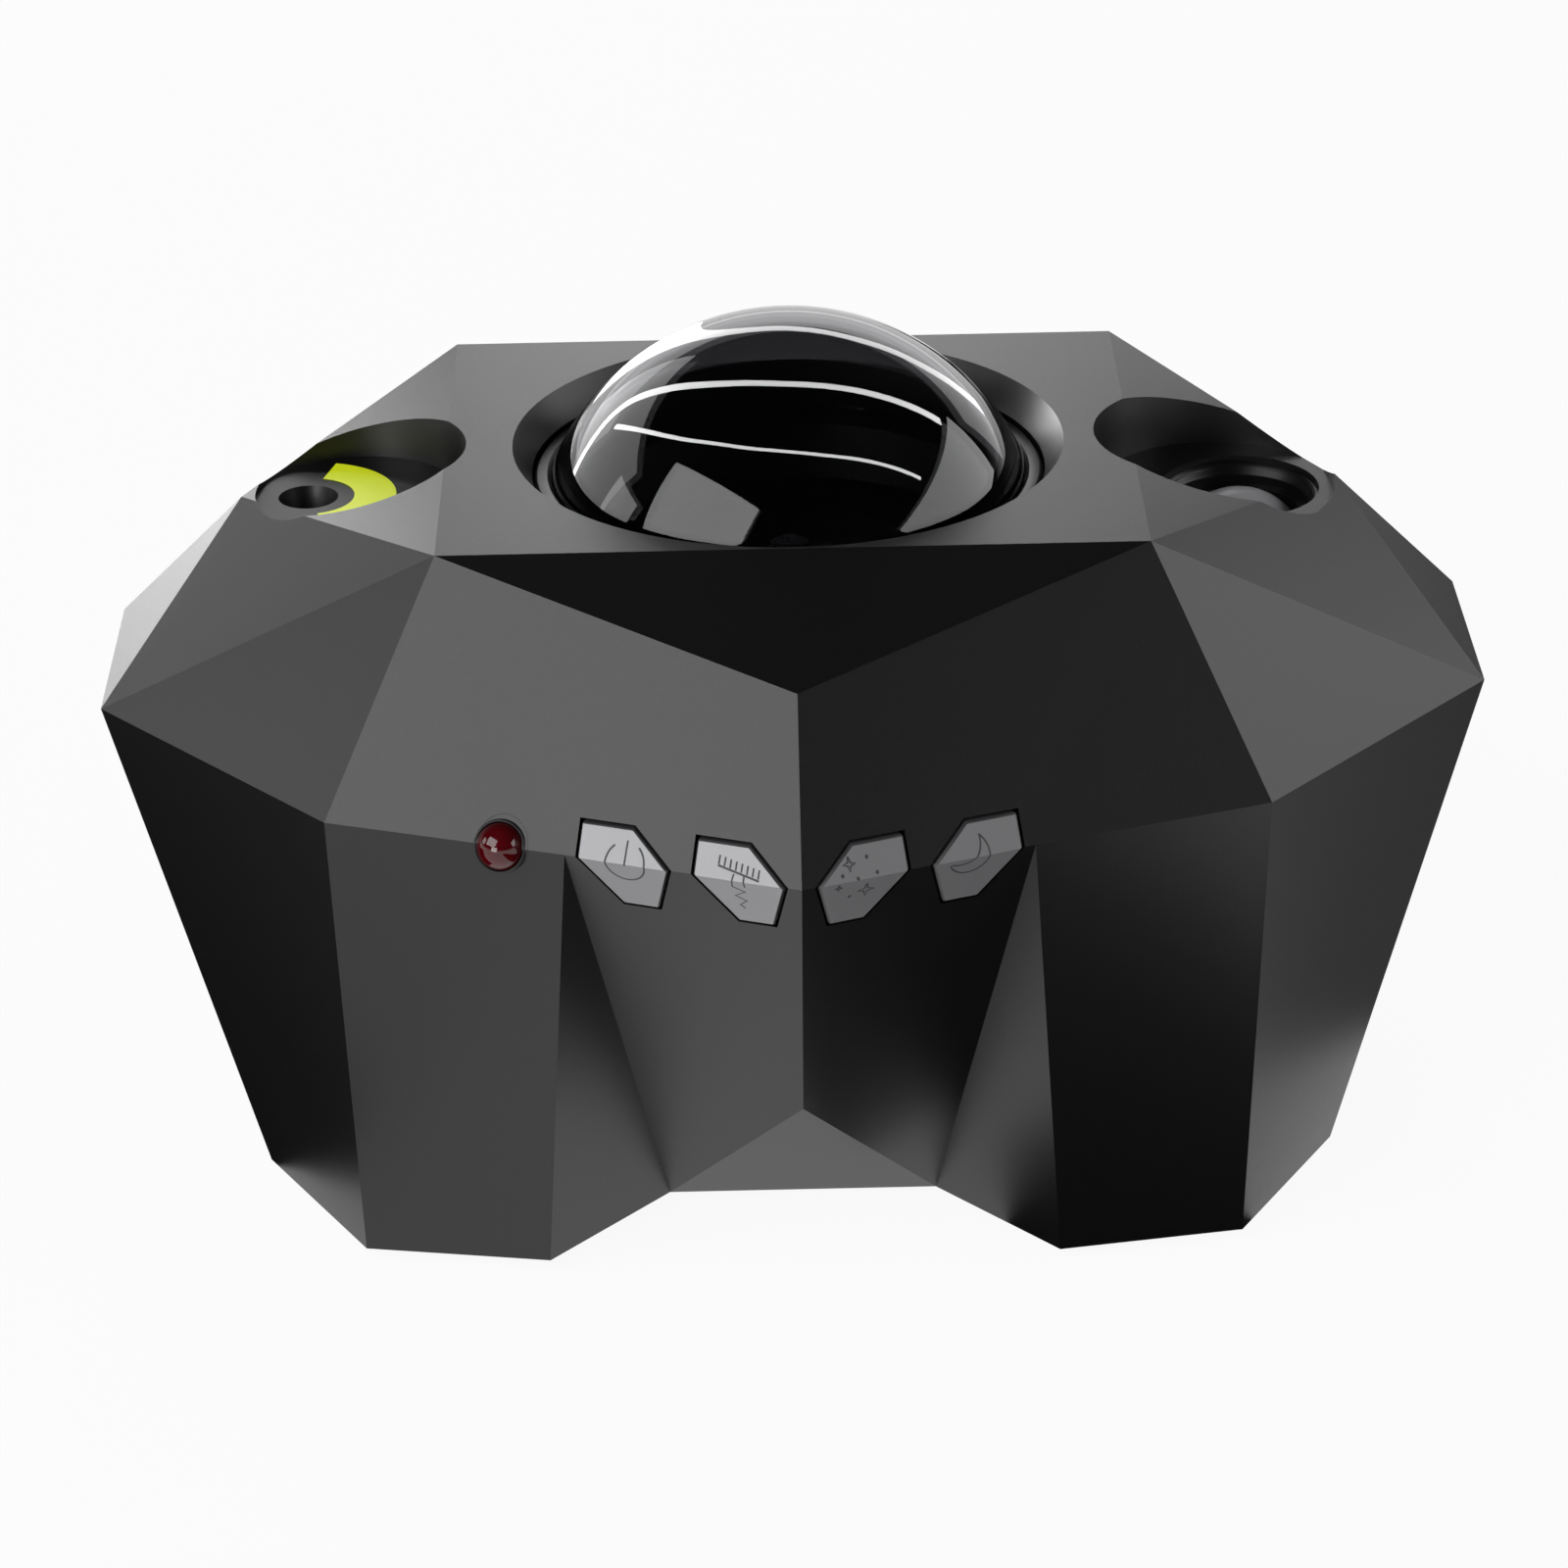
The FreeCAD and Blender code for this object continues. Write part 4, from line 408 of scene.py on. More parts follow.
def copied(node, name, turn=SMOOTH_TURN):
    """A welded copy of a CAD node's mesh, smooth where the real surface is round."""
    piece = bpy.data.objects.new(name, frame["nodes"][node].data.copy())
    piece.data.name = name
    bpy.context.scene.collection.objects.link(piece)
    only(piece)
    bpy.ops.mesh.customdata_custom_splitnormals_clear()
    bpy.ops.object.mode_set(mode="EDIT")
    bpy.ops.mesh.select_all(action="SELECT")
    bpy.ops.mesh.remove_doubles(threshold=WELD)
    bpy.ops.mesh.dissolve_limited(angle_limit=math.radians(0.2), delimit={"SHARP"})
    bpy.ops.object.mode_set(mode="OBJECT")
    smooth(piece, turn)
    return piece


def stand_in(piece, body, slot, finish, *nodes):
    """Dresses a finished piece and puts it in the place of CAD nodes."""
    dress(piece, finish)
    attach(piece, body)
    if nodes:
        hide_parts(*nodes)
    return piece


# Operators, one for each group of pieces and one for the stage


class PROJECTOR_OT_casing(bpy.types.Operator):
    """Two casing shells, the base cover and its feet"""
    bl_idname = "projector.casing"
    bl_label = "Casing"

    def execute(self, context):
        for node, name in (("upper_shell", "upper_casing"), ("lower_shell", "lower_casing")):
            stand_in(copied(node, name), "casing", "case_black", "casing", node)
        dress_nodes({"base_cover": "cover"})
        for node in ("foot_left_front", "foot_right_front", "foot_left_back", "foot_right_back"):
            low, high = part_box(node)
            radius = (high.x - low.x) / 2
            height = high.z - low.z
            toe = 0.6 * MM
            dish = 0.25 * MM
            profile = [(0, dish), (radius * 0.55, dish), (radius * 0.7, 0.02 * MM), (radius - 1.2 * MM, 0)]
            profile += arc(radius - toe, toe, toe, -90, 0, 4)
            profile += [(radius, height), (0, height)]
            piece = turned(node.replace("foot", "pad"), profile, 64)
            piece.matrix_world = Matrix.Translation(((low.x + high.x) / 2, (low.y + high.y) / 2, low.z))
            stand_in(settle(piece, piece.name), "casing", "foot_rubber", "rubber", node)
        return {"FINISHED"}


class PROJECTOR_OT_dome(bpy.types.Operator):
    """The dome with its flange, and the ring that holds it down"""
    bl_idname = "projector.dome"
    bl_label = "Dome"

    def execute(self, context):
        settings = context.scene.projector_dome
        low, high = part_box("dome_cover")
        flange, flange_top = high.x, low.z + 1.3 * MM
        rise = high.z - settings.shoulder
        ball = (settings.radius ** 2 + rise ** 2) / (2 * rise)
        middle = high.z - ball
        inside = settings.radius - settings.wall
        shoulder = math.degrees(math.asin((settings.shoulder - middle) / ball))
        inner_ball = ball - settings.wall
        inner_shoulder = math.degrees(math.acos(inside / inner_ball))
        profile = [(inside, low.z), (flange, low.z), (flange, flange_top), (settings.radius, flange_top)]
        profile += arc(0, middle, ball, shoulder, 90, 28)
        profile += arc(0, middle, inner_ball, 90, inner_shoulder, 28)
        profile += [(inside, low.z)]
        dome = turned("clear_dome", profile, settings.steps, turn=math.radians(32))
        stand_in(dome, "casing", "clear_dome", "acrylic", "dome_cover")
        low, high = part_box("dome_ring")
        bore = settings.radius + 0.2 * MM
        corners = [(bore, low.z), (high.x, low.z), (high.x, high.z - 0.5 * MM), (high.x - 0.5 * MM, high.z)]
        corners += [(bore + 0.7 * MM, high.z), (bore, high.z - 0.7 * MM)]
        ring = turned("dome_bezel", eased(corners, 0.12 * MM), settings.steps, turn=TRIM_TURN)
        stand_in(ring, "casing", "ring_black", "trim", "dome_ring")
        return {"FINISHED"}


class PROJECTOR_OT_light_engine(bpy.types.Operator):
    """The turning ripple lens under the dome, with its drive and lamps"""
    bl_idname = "projector.light_engine"
    bl_label = "Light engine"

    def execute(self, context):
        low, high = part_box("ripple_disc")
        radius, hub, bore = high.x, 4.0 * MM, 1.55 * MM
        seat, face = low.z + 1.2 * MM, low.z + 3.2 * MM
        profile = [(bore, low.z), (hub, low.z), (hub, seat), (radius, seat), (radius, face)]
        waves = 44
        for i in range(waves + 1):
            r = radius - 0.6 * MM - (radius - hub - 1.2 * MM) * i / waves
            profile.append((r, face + 0.4 * MM * (1 + math.sin(r / (0.95 * MM)))))
        profile += [(hub, face), (hub, high.z), (bore, high.z), (bore, low.z)]
        disc = turned("wave_lens", profile, 128, turn=math.radians(40))
        for vertex in disc.data.vertices:
            if vertex.co.z > face and hub < vertex.co.xy.length < radius - 0.5 * MM:
                x, y = vertex.co.x / (2.3 * MM), vertex.co.y / (2.9 * MM)
                vertex.co.z -= 0.35 * MM * (1 + math.sin(x + math.sin(y)) * math.cos(y - 0.6 * x)) / 2
        stand_in(disc, "ripple_lens", "ripple_clear", "ripple", "ripple_disc")
        dress_nodes({
            "ripple_gear": "acetal", "ripple_pinion": "acetal", "ripple_shaft": "steel", "shaft_clip": "steel",
            "light_housing": "nylon", "ripple_motor": "can", "led_board": "aluminium", "colour_leds": "phosphor",
            "led_lenses": "optical", "heat_sink": "aluminium", "chassis_plate": "nylon"})
        return {"FINISHED"}


class PROJECTOR_OT_star_laser(bpy.types.Operator):
    """The arc beside the laser mouth, and the laser engine under it"""
    bl_idname = "projector.star_laser"
    bl_label = "Star laser"

    def execute(self, context):
        low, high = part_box("laser_label")
        x = context.scene.projector_lens.laser_x
        inner, outer = 7.2 * MM, high.x - x
        half = math.radians(75)
        edge = 0.05 * MM
        corners = [(inner, low.z), (outer, low.z), (outer, high.z - edge), (outer - edge, high.z)]
        corners += [(inner + edge, high.z), (inner, high.z - edge), (inner, low.z)]
        label = turned("beam_arc", corners, 60, 2 * half, half, x, math.radians(20))
        stand_in(label, "casing", "label_yellow", "vinyl", "laser_label")
        label.data.materials.append(MATERIALS["vinyl_edge"])
        for face in label.data.polygons:
            middle = face.center - Vector((x, 0, 0))
            face.material_index = int(middle.xy.length < inner + edge)
        dress_nodes({
            "laser_window": "window", "grating_gear": "acetal", "grating_film": "film", "grating_pinion": "acetal",
            "grating_motor": "can", "laser_holder": "nylon", "laser_module": "brass"})
        return {"FINISHED"}


class PROJECTOR_OT_moon_lens(bpy.types.Operator):
    """The stepped mount and domed lens on the right, and the moon engine under it"""
    bl_idname = "projector.moon_lens"
    bl_label = "Moon lens"

    def execute(self, context):
        x = context.scene.projector_lens.moon_x
        low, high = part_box("moon_barrel")
        top, outer, step, bore = high.z, 12.35 * MM, 10.7 * MM, 9.45 * MM
        seat = top - 7.6 * MM
        corners = [(outer, low.z), (outer, top), (outer - 0.4 * MM, top), (outer - 0.9 * MM, top - 0.5 * MM)]
        corners += [(step + 0.7 * MM, top - 0.7 * MM), (step, top - 1.6 * MM), (step, top - 3.2 * MM)]
        corners += [(bore, top - 3.2 * MM), (bore, seat), (bore - 0.8 * MM, seat), (bore - 0.8 * MM, low.z)]
        mount = turned("moon_bezel", eased(corners, 0.1 * MM), 128, axis_x=x, turn=TRIM_TURN)
        stand_in(mount, "casing", "barrel_black", "anodised", "moon_barrel")
        low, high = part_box("moon_lens")
        radius = (high.x - low.x) / 2
        edge, crest = low.z + 2.2 * MM, top
        crown = crest - edge
        ball = (radius ** 2 + crown ** 2) / (2 * crown)
        rim = math.degrees(math.asin((ball - crown) / ball))
        profile = [(0, low.z), (radius, low.z)] + arc(0, crest - ball, ball, rim, 90, 20)
        glass = turned("moon_glass", profile, 128, axis_x=x, turn=math.radians(30))
        stand_in(glass, "casing", "lens_glass", "frosted", "moon_lens")
        dress_nodes({
            "moon_slide": "film", "slide_spacer": "anodised", "moon_condenser": "optical",
            "moon_led_board": "board"})
        return {"FINISHED"}


# Symbol lines as (along the waist edge from the bow, above the waist), in mm
RAYS = [[(13.1 - 0.9 * i, 1.85 - 0.17 * i), (13.1 - 0.9 * i, 3.0 - 0.17 * i)] for i in range(8)]
CURTAIN = [(10.6, 0.9), (10.9, -1.2), (9.0, -2.0), (10.7, -3.0), (9.1, -3.9), (10.3, -4.9), (9.6, -5.5)]
SYMBOLS = {
    "power": [[(27.5 + 3.05 * math.sin(a), -0.05 + 3.05 * math.cos(a)) for a in
               [math.radians(38 + i * 284 / 28) for i in range(29)]], [(27.5, -0.2), (27.5, 3.1)]],
    "light": RAYS + [[(13.2, 1.7), (6.6, 0.4)], CURTAIN, [(9.0, 0.8), (8.9, -1.0)]],
    "moon": [[(26.45 + 3.2 * math.sin(a), 0.35 + 3.2 * math.cos(a)) for a in
              [math.radians(38 + i * 210 / 24) for i in range(25)]],
             [(25.1 + 3.45 * math.sin(a), 2.4 + 3.45 * math.cos(a)) for a in
              [math.radians(83 + i * 120 / 16) for i in range(17)]]],
}
STARS = ((7.82, 2.17, 1.0), (10.3, -2.28, 1.3), (5.81, -0.95, 0.6))
SPECKS = ((10.71, 2.71), (11.87, 0.58), (6.51, 0.87), (8.78, 0.2), (7.87, -3.11))


def star_lines():
    """Four-pointed stars with hollow sides, and small round specks."""
    lines = []
    for s, z, reach in STARS:
        points = []
        for i in range(9):
            r = reach if i % 2 == 0 else reach * 0.3
            points.append((s + r * math.sin(i * math.pi / 4), z + r * math.cos(i * math.pi / 4)))
        lines.append(points)
    for s, z in SPECKS:
        lines.append([(s + 0.16 * math.cos(i * math.pi / 3), z + 0.16 * math.sin(i * math.pi / 3))
                      for i in range(7)])
    return lines


def face_frame(side):
    """The waist edge on one side of the bow: its start, its direction, inwards, and the two facets' slopes."""
    flip = Vector((side, 1, 1))
    along = ((INNER_CORNER - BOW_CORNER) * flip).normalized()
    inward = along.cross(Vector((0, 0, 1))) * -side
    inward = inward if inward.y > 0 else -inward
    upper = (ROOF_CORNER * flip - BOW_CORNER).dot(inward) / (ROOF_CORNER.z - BOW_CORNER.z)
    lower = (NOTCH_CORNER * flip - BOW_CORNER).dot(inward) / (BOW_CORNER.z - NOTCH_CORNER.z)
    return along, inward, upper, lower


def on_button(side, proud, s, z, lift):
    """A point on a button's bent face, from its place along and above the waist edge, in metres."""
    along, inward, upper, lower = face_frame(side)
    depth = -proud + (upper * z if z > 0 else -lower * z)
    normal = (-inward + Vector((0, 0, 1)) * (upper if z > 0 else -lower)).normalized()
    return BOW_CORNER + along * s + Vector((0, 0, z)) + inward * depth + normal * lift


class PROJECTOR_OT_buttons(bpy.types.Operator):
    """Four bent buttons with their symbols, and the switches and boards behind them"""
    bl_idname = "projector.buttons"
    bl_label = "Buttons"

    def execute(self, context):
        settings = context.scene.projector_button
        for name, side in (("power", -1), ("light", -1), ("star", 1), ("moon", 1)):
            node = name + "_button"
            along, inward, upper, lower = face_frame(side)
            key = copied(node, name + "_key", FACET_TURN)
            for vertex in key.data.vertices:
                if (vertex.co - BOW_CORNER).dot(inward) < FACE_DEPTH:
                    vertex.co += inward * (CAD_PROUD - settings.proud)
            rounded_over(key, settings.edge, 1, KEY_EDGE_TURN)
            stand_in(key, node, "button_silver", "silver", node)
            # The sides and chamfers take the symbols' dark grey as painted shade; only faces that look squarely
            # forward stay silver
            key.data.materials.append(MATERIALS["symbol"])
            fronts = [(Vector((0, 0, rise)) - inward).normalized() for rise in (upper, -lower)]
            for face in key.data.polygons:
                face.material_index = int(max(face.normal.dot(front) for front in fronts) < SIDE_SHADE_LIMIT)
            lines = star_lines() if name == "star" else SYMBOLS[name]
            strokes = [self.stroke(line, settings.line) for line in lines]
            deselect()
            for stroke in strokes:
                stroke.select_set(True)
            context.view_layer.objects.active = strokes[0]
            bpy.ops.object.join()
            symbol = context.object
            for vertex in symbol.data.vertices:
                s, z, h = vertex.co
                vertex.co = on_button(side, settings.proud, s, z, h * BEAD_RISE)
            symbol = settle(symbol, name + "_symbol")
            smooth(symbol, math.radians(60))
            stand_in(symbol, node, "button_silver", "symbol")
        dress_nodes({
            "power_switch": "package", "light_switch": "package", "star_switch": "package",
            "moon_switch": "package", "button_board_left": "board", "button_board_right": "board",
            "button_board_screws": "steel"})
        return {"FINISHED"}

    def stroke(self, line, half_width):
        """One symbol line as a round bead, laid out flat."""
        points = [(s * MM, z * MM, 0) for s, z in self.split_at_waist(line)]
        bead = drawn(points)
        only(bead)
        bpy.ops.object.transform_apply(location=True)
        bpy.ops.object.convert(target="CURVE")
        bead = bpy.context.object
        bead.data.bevel_depth = half_width
        bead.data.bevel_resolution = 1
        bead.data.use_fill_caps = True
        bpy.ops.object.convert(target="MESH")
        return bpy.context.object

    def split_at_waist(self, line):
        """The line with a point added wherever it crosses the bend in the face."""
        points = [line[0]]
        for (s0, z0), (s1, z1) in zip(line, line[1:]):
            if z0 * z1 < 0:
                t = z0 / (z0 - z1)
                points.append((s0 + (s1 - s0) * t, 0.0))
            points.append((s1, z1))
        return points


class PROJECTOR_OT_receiver(bpy.types.Operator):
    """The red remote receiver window in its cup and sleeve, and the receiver behind it"""
    bl_idname = "projector.receiver"
    bl_label = "Receiver"

    def execute(self, context):
        flip = Vector((-1, 1, 1))
        along = ((OUTER_CORNER - INNER_CORNER) * flip).normalized()
        outward = Vector((along.y, -along.x, 0))
        outward = outward if outward.y < 0 else -outward
        mouth = INNER_CORNER * flip + along * 9.9 * MM
        # The sleeve fills the bore and ends flush with the facets above and below the waist edge
        bore, flange, flange_top, end = 4.1 * MM, 5.35 * MM, -7.0 * MM, -10.5 * MM
        profile = [(0, end), (bore, end), (bore, flange_top - 1.4 * MM), (flange, flange_top - 1.4 * MM)]
        profile += [(flange, flange_top), (bore, flange_top), (bore, 0), (bore * 0.6, 0), (0, 0)]
        sleeve = turned("receiver_sleeve", profile, 96)
        upper, lower = RECEIVER_SLOPES
        for vertex in sleeve.data.vertices:
            if vertex.co.z > -MM:
                fall = upper * vertex.co.y if vertex.co.y > 0 else -lower * vertex.co.y
                vertex.co.z = -SLEEVE_DEPTH - fall
        smooth(sleeve, FACET_TURN)
        stand_in(aim(sleeve, mouth, outward), "casing", "ring_black", "casing", "receiver_ring")
        # The window is a ball in a thin cup, tilted up towards the user
        tilt = math.radians(22)
        axis = outward * math.cos(tilt) + Vector((0, 0, math.sin(tilt)))
        middle = mouth + along * 0.3 * MM - outward * 0.6 * MM - Vector((0, 0, 0.3 * MM))
        rim, ball = 4.1 * MM, 3.6 * MM
        profile = arc(0, 0, rim, -90, 5, 24) + arc((rim + ball) / 2, 0.5 * MM, 0.2 * MM, 20, 160, 4)
        cup = turned("receiver_bezel", profile + arc(0, 0, ball, 5, -90, 24), 96, turn=math.radians(35))
        stand_in(aim(cup, middle, axis), "casing", "ring_black", "nylon")
        profile = [(0, -MM)] + arc(0, 0, ball - 0.02 * MM, -16, 90, 24)
        window = turned("receiver_dome", profile, 96, turn=math.radians(35))
        stand_in(aim(window, middle, axis), "casing", "receiver_red", "red", "receiver_window")
        dress_nodes({"receiver_board": "board"})
        return {"FINISHED"}


class PROJECTOR_OT_inlet(bpy.types.Operator):
    """The round power inlet in the back wall"""
    bl_idname = "projector.inlet"
    bl_label = "Power inlet"

    def execute(self, context):
        mount = next(m for m in frame["record"]["mounts"] if m["name"] == "power_inlet")
        mouth, outward = Vector(mount["pos_m"]), Vector(mount["axis"])
        flange, barrel, bore = 5.6 * MM, 4.0 * MM, 3.0 * MM
        corners = [(bore, 0), (flange - 0.3 * MM, 0), (flange, -0.3 * MM), (flange, -1.0 * MM)]
        corners += [(barrel, -1.0 * MM), (barrel, -15.0 * MM), (0, -15.0 * MM), (0, -11.0 * MM), (bore, -11.0 * MM)]
        collar = turned("inlet_collar", [*corners, corners[0]], 64, turn=TRIM_TURN)
        stand_in(aim(collar, mouth, outward), "casing", "component_grey", "trim", "power_socket")
        pin = [(0, -11.0 * MM), (MM, -11.0 * MM), (MM, -2.4 * MM)] + arc(0.6 * MM, -2.4 * MM, 0.4 * MM, 0, 90, 4)
        pin += [(0, -2.0 * MM)]
        pin = turned("inlet_pin", pin, 32, turn=math.radians(50))
        stand_in(aim(pin, mouth, outward), "casing", "steel", "steel")
        return {"FINISHED"}


class PROJECTOR_OT_inner_parts(bpy.types.Operator):
    """Finishes for the boards and screws inside"""
    bl_idname = "projector.inner_parts"
    bl_label = "Inner parts"

    def execute(self, context):
        dress_nodes({
            "main_board": "board", "board_components": "package", "board_screws": "steel",
            "case_screws": "steel", "chassis_screws": "steel", "cover_screws": "steel"})
        return {"FINISHED"}


# Soft boxes: name, angle round from the front and angle up, distance, width and height in metres, power in
# watts, and whether the dome shows them with the rest, alone or not at all
SOFT_BOXES = (
    ("Left back box", -150, 6.5, 2.5, (1.34, 0.75), 36.0, "off"),
    ("Back box", 180, 6.5, 2.5, (1.34, 0.75), 13.0, "off"),
    ("Back fill", -172, 25, 1.3, (0.6, 0.4), 1.8, "off"),
    ("Front left box", -30, 8, 1.3, (0.6, 0.4), 4.0, "with"),
    ("Left box", -52, 35, 1.3, (1.1, 0.8), 10.0, "with"),
    ("Left fill", -95, 18, 1.3, (0.4, 0.4), 1.3, "with"),
    ("Right box", 92, 22, 1.3, (1.6, 0.5), 6.5, "with"),
    ("Dome back panel", 180, 15, 2.5, (5.0, 1.0), 17.0, "alone"),
    ("Dome left panel", -128, 20, 2.0, (1.9, 1.1), 10.0, "alone"),
)
# Light tubes that stand as bright lines in the dome: radius, strength, and the points they bend through
TUBES = (
    ("Back tube", 0.05, 5.0, ((-0.084, 0.337, 0.06), (-0.25, 0.9, 0.3), (-0.2, 1.05, 0.6), (0.0, 1.06, 0.7),
                              (0.279, 1.018, 0.7), (0.433, 1.016, 0.605), (0.599, 1.006, 0.42),
                              (0.625, 1.037, 0.171))),
    ("Top tube", 0.035, 12.0, ((-0.923, 0.794, 0.113), (-0.837, 0.861, 0.299), (-0.728, 0.894, 0.49),
                               (-0.665, 0.748, 0.795), (-0.46, 0.526, 1.101), (-0.117, 0.398, 1.25),
                               (0.153, 0.381, 1.251), (0.415, 0.405, 1.176), (0.716, 0.472, 0.97),
                               (0.887, 0.559, 0.726))),
    ("Front tube", 0.016, 16.0, ((-0.853, 0.752, 0.538), (-0.867, 0.226, 0.935), (-0.417, -0.25, 1.229),
                                 (0.036, -0.377, 1.27), (0.494, -0.343, 1.173), (0.985, -0.118, 0.824))),
)
# Cards laid on the paper beside the part, seen only in its gloss: lowest and highest corner in metres, colour
CARDS = (
    ("Left card", (-0.5, -0.09), (-0.085, 0.2), "#060606"),
    ("Right front card", (0.008, -0.45), (0.13, -0.052), "#060606"),
    ("Right side card", (0.11, -0.04), (0.4, 0.05), "#b4b4b4"),
    ("Right back card", (0.1, 0.05), (0.6, 0.9), "#060606"),
)


class PROJECTOR_OT_stage(bpy.types.Operator):
    """The floor, the cards, the soft boxes, the light tubes, the world and the camera"""
    bl_idname = "projector.stage"
    bl_label = "Stage"

    def execute(self, context):
        settings = context.scene.projector_stage
        self.floor(settings)
        for name, low, high, colour in CARDS:
            self.card(name, low, high, colour)
        for name, azimuth, elevation, distance, sides, power, dome in SOFT_BOXES:
            self.soft_box(name, self.toward(azimuth, elevation), distance, sides, power, dome)
        for name, radius, strength, points in TUBES:
            self.tube(name, radius, strength, points)
        self.world()
        self.camera(settings)
        context.scene.view_settings.view_transform = "Standard"
        return {"FINISHED"}

    def toward(self, azimuth, elevation):
        """The direction that lies so far round from the front, to the right, and so far up."""
        a, e = math.radians(azimuth), math.radians(elevation)
        return Vector((math.sin(a) * math.cos(e), -math.cos(a) * math.cos(e), math.sin(e)))

    def floor(self, settings):
        deselect()
        bpy.ops.mesh.primitive_circle_add(vertices=96, radius=FLOOR_RADIUS, fill_type="NGON", location=(0, 0, 0))
        floor = bpy.context.object
        floor.name = "studio_floor"
        # Matt paper, white to the camera, in gloss and through glass; the rest of it takes the part's shadow
        material, tree, output = blank("Studio paper, white")
        path = add(tree, "ShaderNodeLightPath")
        seen = add(tree, "ShaderNodeMath", operation="MAXIMUM", links={
            0: path.outputs["Is Camera Ray"], 1: path.outputs["Is Glossy Ray"]})
        seen = add(tree, "ShaderNodeMath", operation="MAXIMUM", links={
            0: seen.outputs[0], 1: path.outputs["Is Transmission Ray"]})
        direct = add(tree, "ShaderNodeMath", {1: 0.5}, {0: path.outputs["Diffuse Depth"]}, operation="LESS_THAN")
        seen = add(tree, "ShaderNodeMath", links={0: seen.outputs[0], 1: direct.outputs[0]}, operation="MULTIPLY")
        share = add(tree, "ShaderNodeMath", {1: settings.glow}, {0: seen.outputs[0]}, operation="MULTIPLY")
        paper = add(tree, "ShaderNodeBsdfDiffuse", {"Color": linear(settings.floor)})
        white = add(tree, "ShaderNodeEmission", {"Color": WHITE, "Strength": 1.0})
        mixed = add(tree, "ShaderNodeMixShader", links={
            0: share.outputs[0], 1: paper.outputs[0], 2: white.outputs[0]})
        tree.links.new(mixed.outputs[0], output.inputs["Surface"])
        floor.data.materials.append(material)

    def card(self, name, low, high, colour):
        deselect()
        bpy.ops.mesh.primitive_plane_add(size=1, location=((low[0] + high[0]) / 2, (low[1] + high[1]) / 2, MM))
        card = bpy.context.object
        card.name = name.replace(" ", "_").lower()
        card.scale = (high[0] - low[0], high[1] - low[1], 1)
        card.visible_camera = card.visible_diffuse = card.visible_transmission = card.visible_shadow = False
        material, tree, output = blank("Matt felt, " + name.lower())
        felt = add(tree, "ShaderNodeBsdfDiffuse", {"Color": linear(colour)})
        tree.links.new(felt.outputs[0], output.inputs["Surface"])
        card.data.materials.append(material)

    def tube(self, name, radius, strength, points):
        line = drawn(points)
        only(line)
        bpy.ops.object.transform_apply(location=True)
        bpy.ops.object.convert(target="CURVE")
        tube = bpy.context.object
        tube.name = name.replace(" ", "_").lower()
        for spline in tube.data.splines:
            spline.type = "NURBS"
            spline.order_u = 3
            spline.use_endpoint_u = True
        tube.data.bevel_depth = radius
        tube.data.use_fill_caps = True
        bpy.ops.object.convert(target="MESH")
        tube = bpy.context.object
        tube.visible_camera = tube.visible_diffuse = tube.visible_transmission = tube.visible_shadow = False
        material, tree, output = blank("Light tube, " + name.lower())
        glow = add(tree, "ShaderNodeEmission", {"Color": WHITE, "Strength": strength})
        tree.links.new(glow.outputs[0], output.inputs["Surface"])
        tube.data.materials.append(material)
        self.light_dome(tube, "INCLUDE")

    def light_dome(self, lamp, state):
        """Keeps a lamp to the dome alone, or keeps it off the dome."""
        lit = bpy.data.collections.new(lamp.name + " on dome")
        lit.objects.link(bpy.data.objects["clear_dome"])
        lit.collection_objects[0].light_linking.link_state = state
        lamp.light_linking.receiver_collection = lit

    def soft_box(self, name, direction, distance, sides, power, dome):
        deselect()
        place = BOX_TARGET + direction * distance
        bpy.ops.object.light_add(type="AREA", location=place)
        box = bpy.context.object
        box.name = name
        box.data.shape = "RECTANGLE"
        box.data.size, box.data.size_y = sides
        box.data.energy = power
        box.visible_camera = False
        if dome != "with":
            self.light_dome(box, "INCLUDE" if dome == "alone" else "EXCLUDE")
        across = Vector((0, 0, 1)).cross(direction).normalized()
        box.matrix_world = Matrix.Translation(place) @ Matrix(
            (across, direction.cross(across), direction)).transposed().to_4x4()

    def world(self):
        """White to the camera and through glass, and in gloss only low down, as a paper sweep is."""
        world = bpy.data.worlds.new("Studio")
        bpy.context.scene.world = world
        world.use_nodes = True
        tree = world.node_tree
        tree.nodes.clear()
        output = add(tree, "ShaderNodeOutputWorld")
        path = add(tree, "ShaderNodeLightPath")
        way = add(tree, "ShaderNodeSeparateXYZ", links={0: add(tree, "ShaderNodeTexCoord").outputs["Generated"]})
        sweep = add(tree, "ShaderNodeMapRange", {
            "From Min": SWEEP_FOOT, "From Max": SWEEP_TOP, "To Min": 1.0, "To Max": ROOM_LEVEL},
            {"Value": way.outputs["Z"]})
        room = add(tree, "ShaderNodeBackground", {"Strength": 1.0}, {"Color": sweep.outputs["Result"]})
        white = add(tree, "ShaderNodeBackground", {"Color": WHITE, "Strength": 1.0})
        seen = add(tree, "ShaderNodeMath", operation="MAXIMUM", links={
            0: path.outputs["Is Camera Ray"], 1: path.outputs["Is Transmission Ray"]})
        depth = add(tree, "ShaderNodeMath", operation="ADD", links={
            0: path.outputs["Diffuse Depth"], 1: path.outputs["Glossy Depth"]})
        direct = add(tree, "ShaderNodeMath", {1: 0.5}, {0: depth.outputs[0]}, operation="LESS_THAN")
        seen = add(tree, "ShaderNodeMath", links={0: seen.outputs[0], 1: direct.outputs[0]}, operation="MULTIPLY")
        mixed = add(tree, "ShaderNodeMixShader", links={
            0: seen.outputs[0], 1: room.outputs[0], 2: white.outputs[0]})
        tree.links.new(mixed.outputs[0], output.inputs["Surface"])

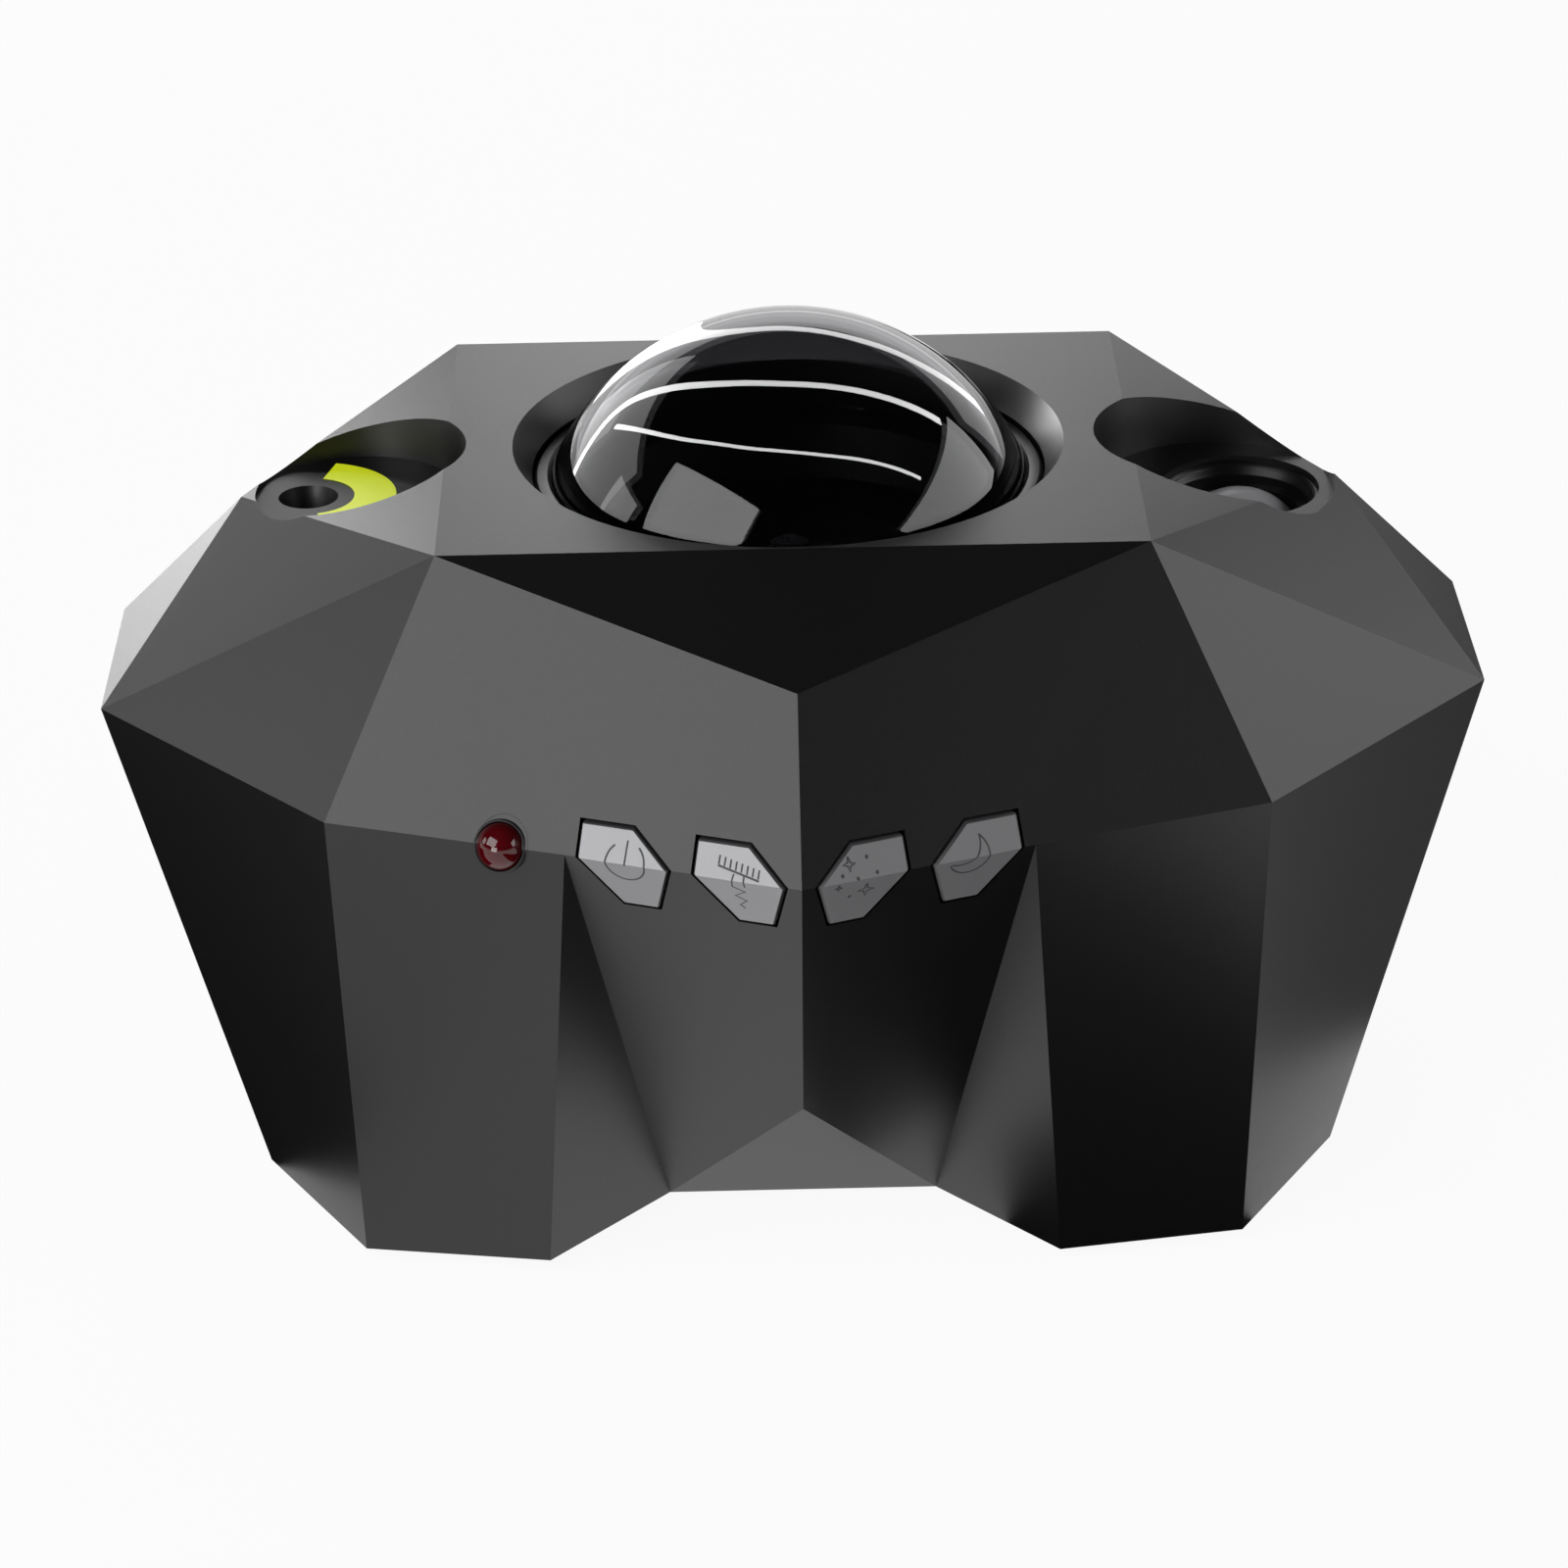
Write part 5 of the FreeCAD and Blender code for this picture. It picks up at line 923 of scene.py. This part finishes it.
    def camera(self, settings):
        pitch, yaw, roll = settings.pitch, settings.yaw, settings.roll
        back = Vector((math.sin(yaw) * math.cos(pitch), -math.cos(yaw) * math.cos(pitch), math.sin(pitch)))
        level = Vector((math.cos(yaw), math.sin(yaw), 0))
        rise = back.cross(level)
        right = level * math.cos(roll) + rise * math.sin(roll)
        up = rise * math.cos(roll) - level * math.sin(roll)
        deselect()
        bpy.ops.object.camera_add()
        camera = bpy.context.object
        camera.name = "Studio camera"
        camera.data.lens = settings.lens
        camera.data.sensor_width = SENSOR_WIDTH
        camera.data.clip_start, camera.data.clip_end = 0.01, 50.0
        foot = Vector((0, 0, 2 * MM))
        place = foot + back * settings.distance + right * settings.offset[0] + up * settings.offset[1]
        turn = Matrix((right, up, back)).transposed().to_4x4()
        camera.matrix_world = Matrix.Translation(place) @ turn
        bpy.context.scene.camera = camera


GROUPS = (CasingSettings, DomeSettings, ButtonSettings, LensSettings, StageSettings)
OPERATORS = (
    PROJECTOR_OT_casing, PROJECTOR_OT_dome, PROJECTOR_OT_light_engine, PROJECTOR_OT_star_laser,
    PROJECTOR_OT_moon_lens, PROJECTOR_OT_buttons, PROJECTOR_OT_receiver, PROJECTOR_OT_inlet,
    PROJECTOR_OT_inner_parts, PROJECTOR_OT_stage)


class PROJECTOR_PT_panel(bpy.types.Panel):
    """Lists the projector's pieces"""
    bl_idname = "PROJECTOR_PT_panel"
    bl_label = "Planetarium projector"
    bl_space_type = "VIEW_3D"
    bl_region_type = "UI"
    bl_category = "Projector"

    def draw(self, context):
        for settings in (context.scene.projector_casing, context.scene.projector_dome,
                         context.scene.projector_button, context.scene.projector_lens,
                         context.scene.projector_stage):
            for name in settings.__annotations__:
                self.layout.prop(settings, name)
        for operator in OPERATORS:
            self.layout.operator(operator.bl_idname)


def register():
    for made in (*GROUPS, *OPERATORS, PROJECTOR_PT_panel):
        bpy.utils.register_class(made)
    bpy.types.Scene.projector_casing = PointerProperty(type=CasingSettings)
    bpy.types.Scene.projector_dome = PointerProperty(type=DomeSettings)
    bpy.types.Scene.projector_button = PointerProperty(type=ButtonSettings)
    bpy.types.Scene.projector_lens = PointerProperty(type=LensSettings)
    bpy.types.Scene.projector_stage = PointerProperty(type=StageSettings)


def unregister():
    for name in ("stage", "lens", "button", "dome", "casing"):
        delattr(bpy.types.Scene, "projector_" + name)
    for made in reversed((*GROUPS, *OPERATORS, PROJECTOR_PT_panel)):
        bpy.utils.unregister_class(made)


def main():
    register()
    make_materials()
    bpy.ops.projector.casing()
    bpy.ops.projector.dome()
    bpy.ops.projector.light_engine()
    bpy.ops.projector.star_laser()
    bpy.ops.projector.moon_lens()
    bpy.ops.projector.buttons()
    bpy.ops.projector.receiver()
    bpy.ops.projector.inlet()
    bpy.ops.projector.inner_parts()
    bpy.ops.projector.stage()


if __name__ == "__main__":
    main()
